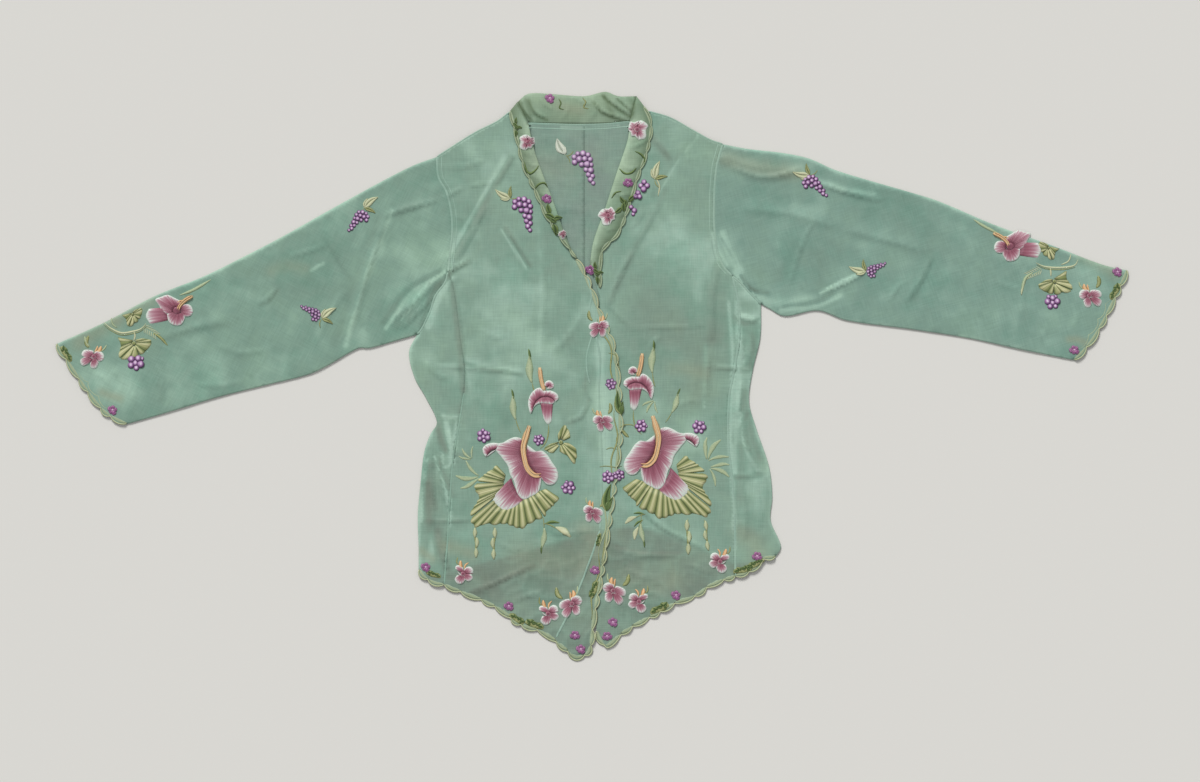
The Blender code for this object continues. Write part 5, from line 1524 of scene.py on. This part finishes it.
# %% The vines, in millimetres
VINES = (
    # region, thread, width, path
    ("front", "straw", 1.8, ((33.5, -64.6), (40.3, -60.9), (50.6, -60.9), (54.1, -64.2))),
    ("front", "straw", 5.0, ((37, -66.5), (41, -72), (46, -76.6))),
    ("front", "straw", 1.6, ((33.5, -70.9), (30.2, -77.9), (31.7, -91.5), (33.5, -100.6), (31.7, -112.1),
        (38.1, -112.1))),
    ("front", "straw", 1.5, ((16.6, -91.5), (23.5, -89.2), (31.7, -91.5))),
    ("front", "straw", 1.5, ((8.5, -113.1), (17.2, -112.1), (31.7, -114.2))),
    ("front", "straw", 1.8, ((19.7, 29.2), (29.1, 26.7), (32.2, 17.9), (34.7, 6.7))),
    ("cuff_right", "cream", 3.2, ((-557, 66), (-564, 59), (-573, 56), (-588, 54), (-600, 59), (-610, 67))),
    ("cuff_right", "straw", 1.4, ((-556, 63.5), (-564, 56.5), (-573, 53.5), (-588, 51.5), (-601, 57),
        (-611, 65))),
    ("cuff_right", "pale", 2.4, ((-593, 60), (-599, 65), (-601, 73))),
    ("cuff_right", "cream", 3.0, ((-572.8, 56.5), (-571, 50), (-573, 43))),
    ("cuff_right", "straw", 4.0, ((-549, 54), (-540, 49), (-530, 38))),
    ("cuff_right", "pale", 5.0, ((-634, 50), (-632, 42), (-627, 36))),
    ("cuff_left", "cream", 3.2, ((554, 142), (562, 138), (572, 136), (590, 136), (603, 139), (607, 146))),
    ("cuff_left", "straw", 1.4, ((555, 139.5), (563, 135.5), (573, 133.5), (590, 133.5), (604, 136.5))),
    ("cuff_left", "cream", 2.4, ((585, 139), (595, 144), (598, 153))),
    ("cuff_left", "cream", 3.0, ((572, 136), (573, 130), (573, 124))),
    ("cuff_left", "pale", 4.6, ((551, 130), (541, 122), (536, 102))),
    ("cuff_left", "cream", 3.0, ((539, 116), (537, 109), (536, 101))),
    ("hem", "cord", 2.6, ((20, -190), (17, -212), (13, -236))),
    ("hem", "straw", 2.0, ((17, -193), (15, -213), (11.5, -234))),
    ("front", "cream", 2.6, ((78, 250), (84, 238), (82, 224))),
    ("lapel", "leaf", 3.2, ((-85, 268), (-82, 256), (-77, 253), (-70, 258), (-67, 263))),
    ("lapel", "leaf", 2.8, ((-72, 234), (-66, 240), (-59, 241), (-56, 236))),
    ("lapel", "leaf", 3.2, ((34, 259), (41, 253), (49, 254), (55, 260))),
    ("lapel", "leaf", 3.0, ((53, 281), (61, 277), (66, 270), (64, 262))),
    ("lapel", "leaf", 2.2, ((24, 222), (29, 229), (37, 231))),
    ("lapel", "leaf", 2.2, ((-42, 347), (-39, 341), (-41, 335), (-35, 333))),
    ("lapel", "straw", 2.2, ((-12, 348), (-8, 342), (-11, 336), (-4, 334))),
    ("cuff_right", "pale", 5.0, ((-516, 101), (-498, 108), (-476, 121))),
    ("cuff_left", "pale", 5.0, ((508, 178), (490, 187), (476, 196))),
)
print(len(VINES), "vines")

# %% Sew them on
ROSETTE_SIZE = 0.86
LEAF_SIZE = 0.85
VINE_TURN = 9 * MM
VINE_WIDTH = 2.6
for region, motif, *spot in FLOWERS + GREENERY:
    sew(region, motif, *spot)
for region, *spot in BERRY_SPOTS:
    sew(region, BERRIES, *spot)
for region, *spot in ROSETTE_SPOTS:
    sew(region, ROSETTE, *spot, ROSETTE_SIZE)
for region, x, y, turn, size, mirror, *leaf_spot in BUNCHES:
    sew(region, FADED_GRAPES if region == "neck" else GRAPES, x, y, turn, size, mirror)
    sew(region, WHITE_LEAF if region == "neck" else VINE_LEAF, *leaf_spot, LEAF_SIZE)
for region, thread, width, path in VINES:
    sew(region, [strand(thread, path, width)])
# A vine winds down beside the scallops of the centre front.
beside_front = smooth_line(CENTRE_FRONT_RIGHT[2:])
winding = sideways(beside_front, 5.5 * MM + 2.5 * MM * np.sin(walked(beside_front) / VINE_TURN))
for thread, start, end in (("straw", 0, 22), ("straw", 24, 44), ("pale", 44, 62), ("straw", 60, 78)):
    sew("front", [strand(thread, winding[start:end], VINE_WIDTH)])
print("sewn so far:", sum(len(parts) for parts in sewn.values()), "fields")

# %% [markdown]
# ## Scalloped edging and seams
# The free edges are cut in small lobes. A cord of satin stitch binds them, cream on the hems and
# cuffs and olive on the lapels, and inside it each lobe is filled with flat olive stitches. The cord
# could be a round tube, but the real one is flat, so it is a field like the petals, between the line
# of the lobes and the same line moved inwards. The seams, and edges that lie beneath a sheer cloth,
# show through it as lighter ridges, where more layers lie together.

# %% The edging
CORD_OUT = 0.3 * MM
CORD_IN = 1.9 * MM
FILL_IN = 1.8 * MM
FILL_WAVE = 0.45
BENEATH_IN = 8 * MM


def edging(rows, depth=LOBE_DEPTH, cord_thread="cord"):
    """The cord along the lobes, and a flat filling of each lobe."""
    points, swell = lobe_line(rows, depth)
    cord, inner = sideways(points, swell - CORD_IN), sideways(points, -FILL_IN - FILL_WAVE * swell)
    return [
        field(cord_thread, sideways(points, swell + CORD_OUT), cord, 0.35, 0.2, 3, root=None),
        field("edging", cord, inner, 0.05, 0.05, 3, root=None),
    ]


for region, rows in (
    ("hem", HEM_RIGHT[::-1]), ("hem", CENTRE_FRONT_RIGHT[::-1]), ("hem", HEM_LEFT),
    ("hem", HEM_SIDE_RIGHT[::-1]), ("hem", HEM_SIDE_LEFT), ("cuff_right", CUFF_RIGHT),
    ("cuff_left", CUFF_LEFT[::-1]),
):
    sew(region, edging(rows))
for rows in (BAND_EDGE_RIGHT, BAND_EDGE_LEFT[::-1]):
    sew("lapel", edging(rows, ROLLED_DEPTH, "edging"))
# The scallops of a sleeve's lower leaf are seen through the upper one.
for region, path, start, end in (("cuff_right", CUFF_RIGHT, 14, 40), ("cuff_left", CUFF_LEFT[::-1], 4, 32)):
    points, swell = lobe_line(path)
    beneath = sideways(points, np.roll(swell, LOBE_STEPS // 2) - BENEATH_IN)[start:end]
    sew(region, [strand("pale", beneath, 1.5, 0.05, 0.1)])
print("edging:", sum(len(parts) for (_, thread), parts in sewn.items() if thread == "edging"), "fields")


# %% The seam ridges
def moved(path, x, y):
    """A second row of stitches beside a seam."""
    return tuple((point_x + x, point_y + y) for point_x, point_y in path)


SEAMS = (
    # width, path
    (3.6, ARMHOLE_RIGHT), (3.6, ARMHOLE_LEFT), (3, UNDERARM_RIGHT), (3, UNDERARM_LEFT),
    (3.6, PRINCESS_LEFT), (3.4, moved(NECK_SEAM, 0, -1.5)),
    (2, moved(NECK_SEAM, 0, -6.5)), (2, SHOULDER_RIGHT), (2, SHOULDER_LEFT),
    (2.6, ((-0.3, 50.4), (-6.6, 26.7), (-6.6, 7.9), (-2.8, -9.6))),
    (3.4, ((4.7, 50.4), (9.7, 24), (8.5, -21), (12.2, -101), (12.2, -137), (9.7, -192))),
    (3, ((9.7, -192), (-2, -228), (-16.6, -266), (-30, -297), (-45.3, -327))),
    (3, ((-6, 126), (-1, 100), (-3, 84), (3, 62))),
    (1.7, moved(ARMHOLE_LEFT, -5.5, 0.5)), (1.7, moved(ARMHOLE_RIGHT, 5.5, 0.5)),
)
ALLOWANCE = (2.6, PRINCESS_RIGHT[4:])
for thread, rows in (("seam", SEAMS), ("ply", (ALLOWANCE,))):
    for width, path in rows:
        sew("body", [strand(thread, path, width, 0.05, 0.1, (0.02, 0.02), 4)])
print(len(SEAMS), "seam ridges")

# %% Make the stitched pieces
stitching = {key: make_stitching(*key, parts) for key, parts in sewn.items()}
faces = sum(len(made.data.polygons) for made in stitching.values())
print(len(stitching), "stitched pieces with", faces, "faces")

# %% [markdown]
# ## Rayon embroidery thread
# The embroidery is worked in twisted rayon, which has a soft silky lustre along each thread. The
# threads are 0.4 mm wide; here they are drawn 1.2 mm wide so that they show at all. Petals are
# shaded by threads of different lengths, so the colour turns along the thread with a ragged edge.

# %% Rayon
THREAD = 1.2 * MM
THREAD_DEPTH = 0.3 * MM
PLEAT_THREAD = 0.16
STREAK_THREADS = 2.2
RAYON_FINISH = {"Roughness": 0.45, "IOR": 1.52, "Specular IOR Level": 0.4, "Sheen Weight": 0.15}


def rayon(name, stops, ragged, by_pleat=False):
    """Threads side by side, coloured along their length, or across the pleats of a fan."""
    made, tree, shader = new_material(name)
    parts = add(tree, "SeparateXYZ", _0=add(tree, "UVMap", {"uv_map": "thread"}).outputs[0])
    along_edge, along_thread = parts.outputs[0], parts.outputs[1]
    thread = PLEAT_THREAD if by_pleat else THREAD
    # Streaks a few threads wide move the colours along the thread, so that they meet raggedly.
    streaks = 1 / (STREAK_THREADS * thread)
    across = add(tree, "Math", {"operation": "MULTIPLY"}, _0=along_edge, _1=streaks).outputs[0]
    streak_spot = add(tree, "CombineXYZ", X=across, Y=along_thread).outputs[0]
    streak = add(tree, "TexNoise", _0=streak_spot, Scale=1.0, Detail=1.0).outputs[0]
    place = along_thread
    if by_pleat:
        place = add(tree, "Math", {"operation": "FRACT"}, _0=along_edge).outputs[0]
    ahead = add(tree, "Math", {"operation": "MULTIPLY_ADD"}, _0=streak, _1=2 * ragged, _2=place).outputs[0]
    level = add(tree, "Math", {"operation": "SUBTRACT"}, _0=ahead, _1=ragged).outputs[0]
    shade = add(tree, "ValToRGB", stops=stops, _0=level).outputs[0]
    # The groove between one thread and the next: painted shade darkens it and the crest of each thread is a
    # little lighter, and a bump gives it relief.
    line_spot = add(tree, "CombineXYZ", X=along_edge).outputs[0]
    bands = {"wave_type": "BANDS", "bands_direction": "X"}
    grooves = add(tree, "TexWave", bands, _0=line_spot, Scale=BAND_OF_WAVE / thread, Distortion=0.0)
    lines = grooves.outputs["Fac"]
    depth = add(tree, "MapRange", Value=lines, _1=0.0, _2=0.5, _3=0.82, _4=1.03).outputs[0]
    groove_shaded = add(tree, "Mix", MULTIPLY, _0=1.0, _6=shade, _7=depth)
    tree.links.new(groove_shaded.outputs[2], shader.inputs["Base Color"])
    bump = add(tree, "Bump", Strength=0.5, Distance=THREAD_DEPTH, Height=lines)
    tree.links.new(bump.outputs[0], shader.inputs["Normal"])
    for setting, value in RAYON_FINISH.items():
        shader.inputs[setting].default_value = value
    return made


print("a thread is drawn", round(THREAD / MM, 1), "mm wide")

# %% The threads and their colours
YARNS = (
    # thread, record slot, how ragged its colours meet, and the colours along it
    ("rose", "thread_rose", 0.42, (
        (0.0, "7c4354"), (0.3, "985667"), (0.5, "a9707f"), (0.66, "b98e98"),
        (0.76, "c6a9ae"), (0.85, "cfc6c4"), (0.93, "dbe2d9"), (1.0, "ccd9cc"),
    )),
    ("blush", "thread_rose", 0.3, ((0.0, "cddacd"), (0.5, "dcdcd6"), (1.0, "cbb8bd"))),
    ("white", "thread_leaf", 0.3, ((0.0, "b9c4af"), (0.5, "dadfce"), (1.0, "bfc9b5"))),
    ("gold", "thread_gold", 0.2, ((0.0, "ad784c"), (0.3, "dfab76"), (0.6, "eac492"), (1.0, "ad784c"))),
    ("cream", "thread_gold", 0.2, ((0.0, "a6b187"), (0.3, "cbcba4"), (0.7, "c2c8a3"), (1.0, "9cab85"))),
    ("buff", "thread_gold", 0.2, ((0.0, "b39a70"), (0.3, "d9c196"), (0.7, "d6be94"), (1.0, "a98f62"))),
    ("straw", "thread_gold", 0.3, ((0.0, "67753f"), (0.4, "a3a670"), (0.65, "959c66"), (1.0, "5f6e3a"))),
    ("cord", "thread_gold", 0.35, ((0.0, "a3ad84"), (0.5, "bdc29a"), (1.0, "a4ae87"))),
    ("fan", "thread_gold", 0.12, (
        (0.0, "4f5a32"), (0.12, "7c8750"), (0.35, "b8b785"), (0.5, "cbc99b"),
        (0.62, "b1b37f"), (0.84, "7f8b54"), (1.0, "4f5a32"),
    )),
    ("edging", "thread_gold", 0.35, ((0.0, "9aab86"), (0.5, "a3b18d"), (1.0, "8fa58c"))),
    ("violet", "thread_violet", 0.3, ((0.0, "e6d6e4"), (0.2, "bd96bd"), (0.5, "8d5d90"), (1.0, "4f3457"))),
    ("lilac", "thread_violet", 0.3, ((0.0, "e0d2de"), (0.2, "c3a4c4"), (0.5, "a07aa2"), (1.0, "70567a"))),
    ("mauve", "thread_violet", 0.5, (
        (0.0, "d0a9c6"), (0.25, "a76494"), (0.6, "824778"), (0.85, "ae789f"), (1.0, "6b3f62"),
    )),
    ("leaf", "thread_leaf", 0.2, ((0.0, "3b5226"), (0.45, "536c34"), (0.8, "718548"), (1.0, "4a6033"))),
    ("pale", "thread_leaf", 0.25, ((0.0, "87a07c"), (0.5, "b4bf97"), (1.0, "8da281"))),
)
THREADS = {
    thread: (rayon("rayon thread " + thread, stops, ragged, thread == "fan"), slot_name)
    for thread, slot_name, ragged, stops in YARNS
}
THREADS["seam"] = voile("cotton voile seams", "95b2a1", "95b2a1", "95b2a1"), "voile_band"
THREADS["ply"] = voile("cotton voile seam allowance", "8cab99", "8cab99", "8cab99"), "voile_front"
for (region, thread), made in stitching.items():
    material, slot_name = THREADS[thread]
    made.data.materials.append(material)
    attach(made, "root")
print("threads:", ", ".join(THREADS))

# %% [markdown]
# ## The sheets, as cut
# Each sheet of cloth is listed with the size that its piece was cut to before it was laid down: a
# folded piece is twice as wide as it lies. Its area, that of the pattern piece itself, is printed.

CUTS = {
    # sheet: leaves, width, length, what it rests on
    "back_right": (1, 0.19, 0.58, []),
    "back_left": (1, 0.19, 0.57, []),
    "front_left": (1, 0.19, 0.68, ["cloth_back_left"]),
    "front_right": (1, 0.235, 0.69, ["cloth_back_right", "cloth_front_left"]),
    "side_right": (2, 0.13, 0.4, []),
    "side_left": (2, 0.12, 0.38, []),
    "sleeve_right": (2, 0.46, 0.54, []),
    "sleeve_left": (2, 0.44, 0.53, []),
    "lapel_right": (2, 0.075, 0.21, ["cloth_front_right"]),
    "lapel_left": (2, 0.085, 0.24, ["cloth_front_left"]),
    "collar_back": (2, 0.08, 0.15, []),
}


def cut_area(loop, leaves):
    """The area of a pattern piece, from the loop that each of its leaves fills."""
    x, y = loop[:, 0], loop[:, 1]
    return leaves * 0.5 * abs(float(np.sum(x * np.roll(y, -1) - y * np.roll(x, -1))))


for name, (leaves, width, length, below) in CUTS.items():
    made, area = sheets[name], cut_area(OUTLINES[name], leaves)
    print(made.name, "cut", width, "x", length, "m, area", round(area, 4), "m2")
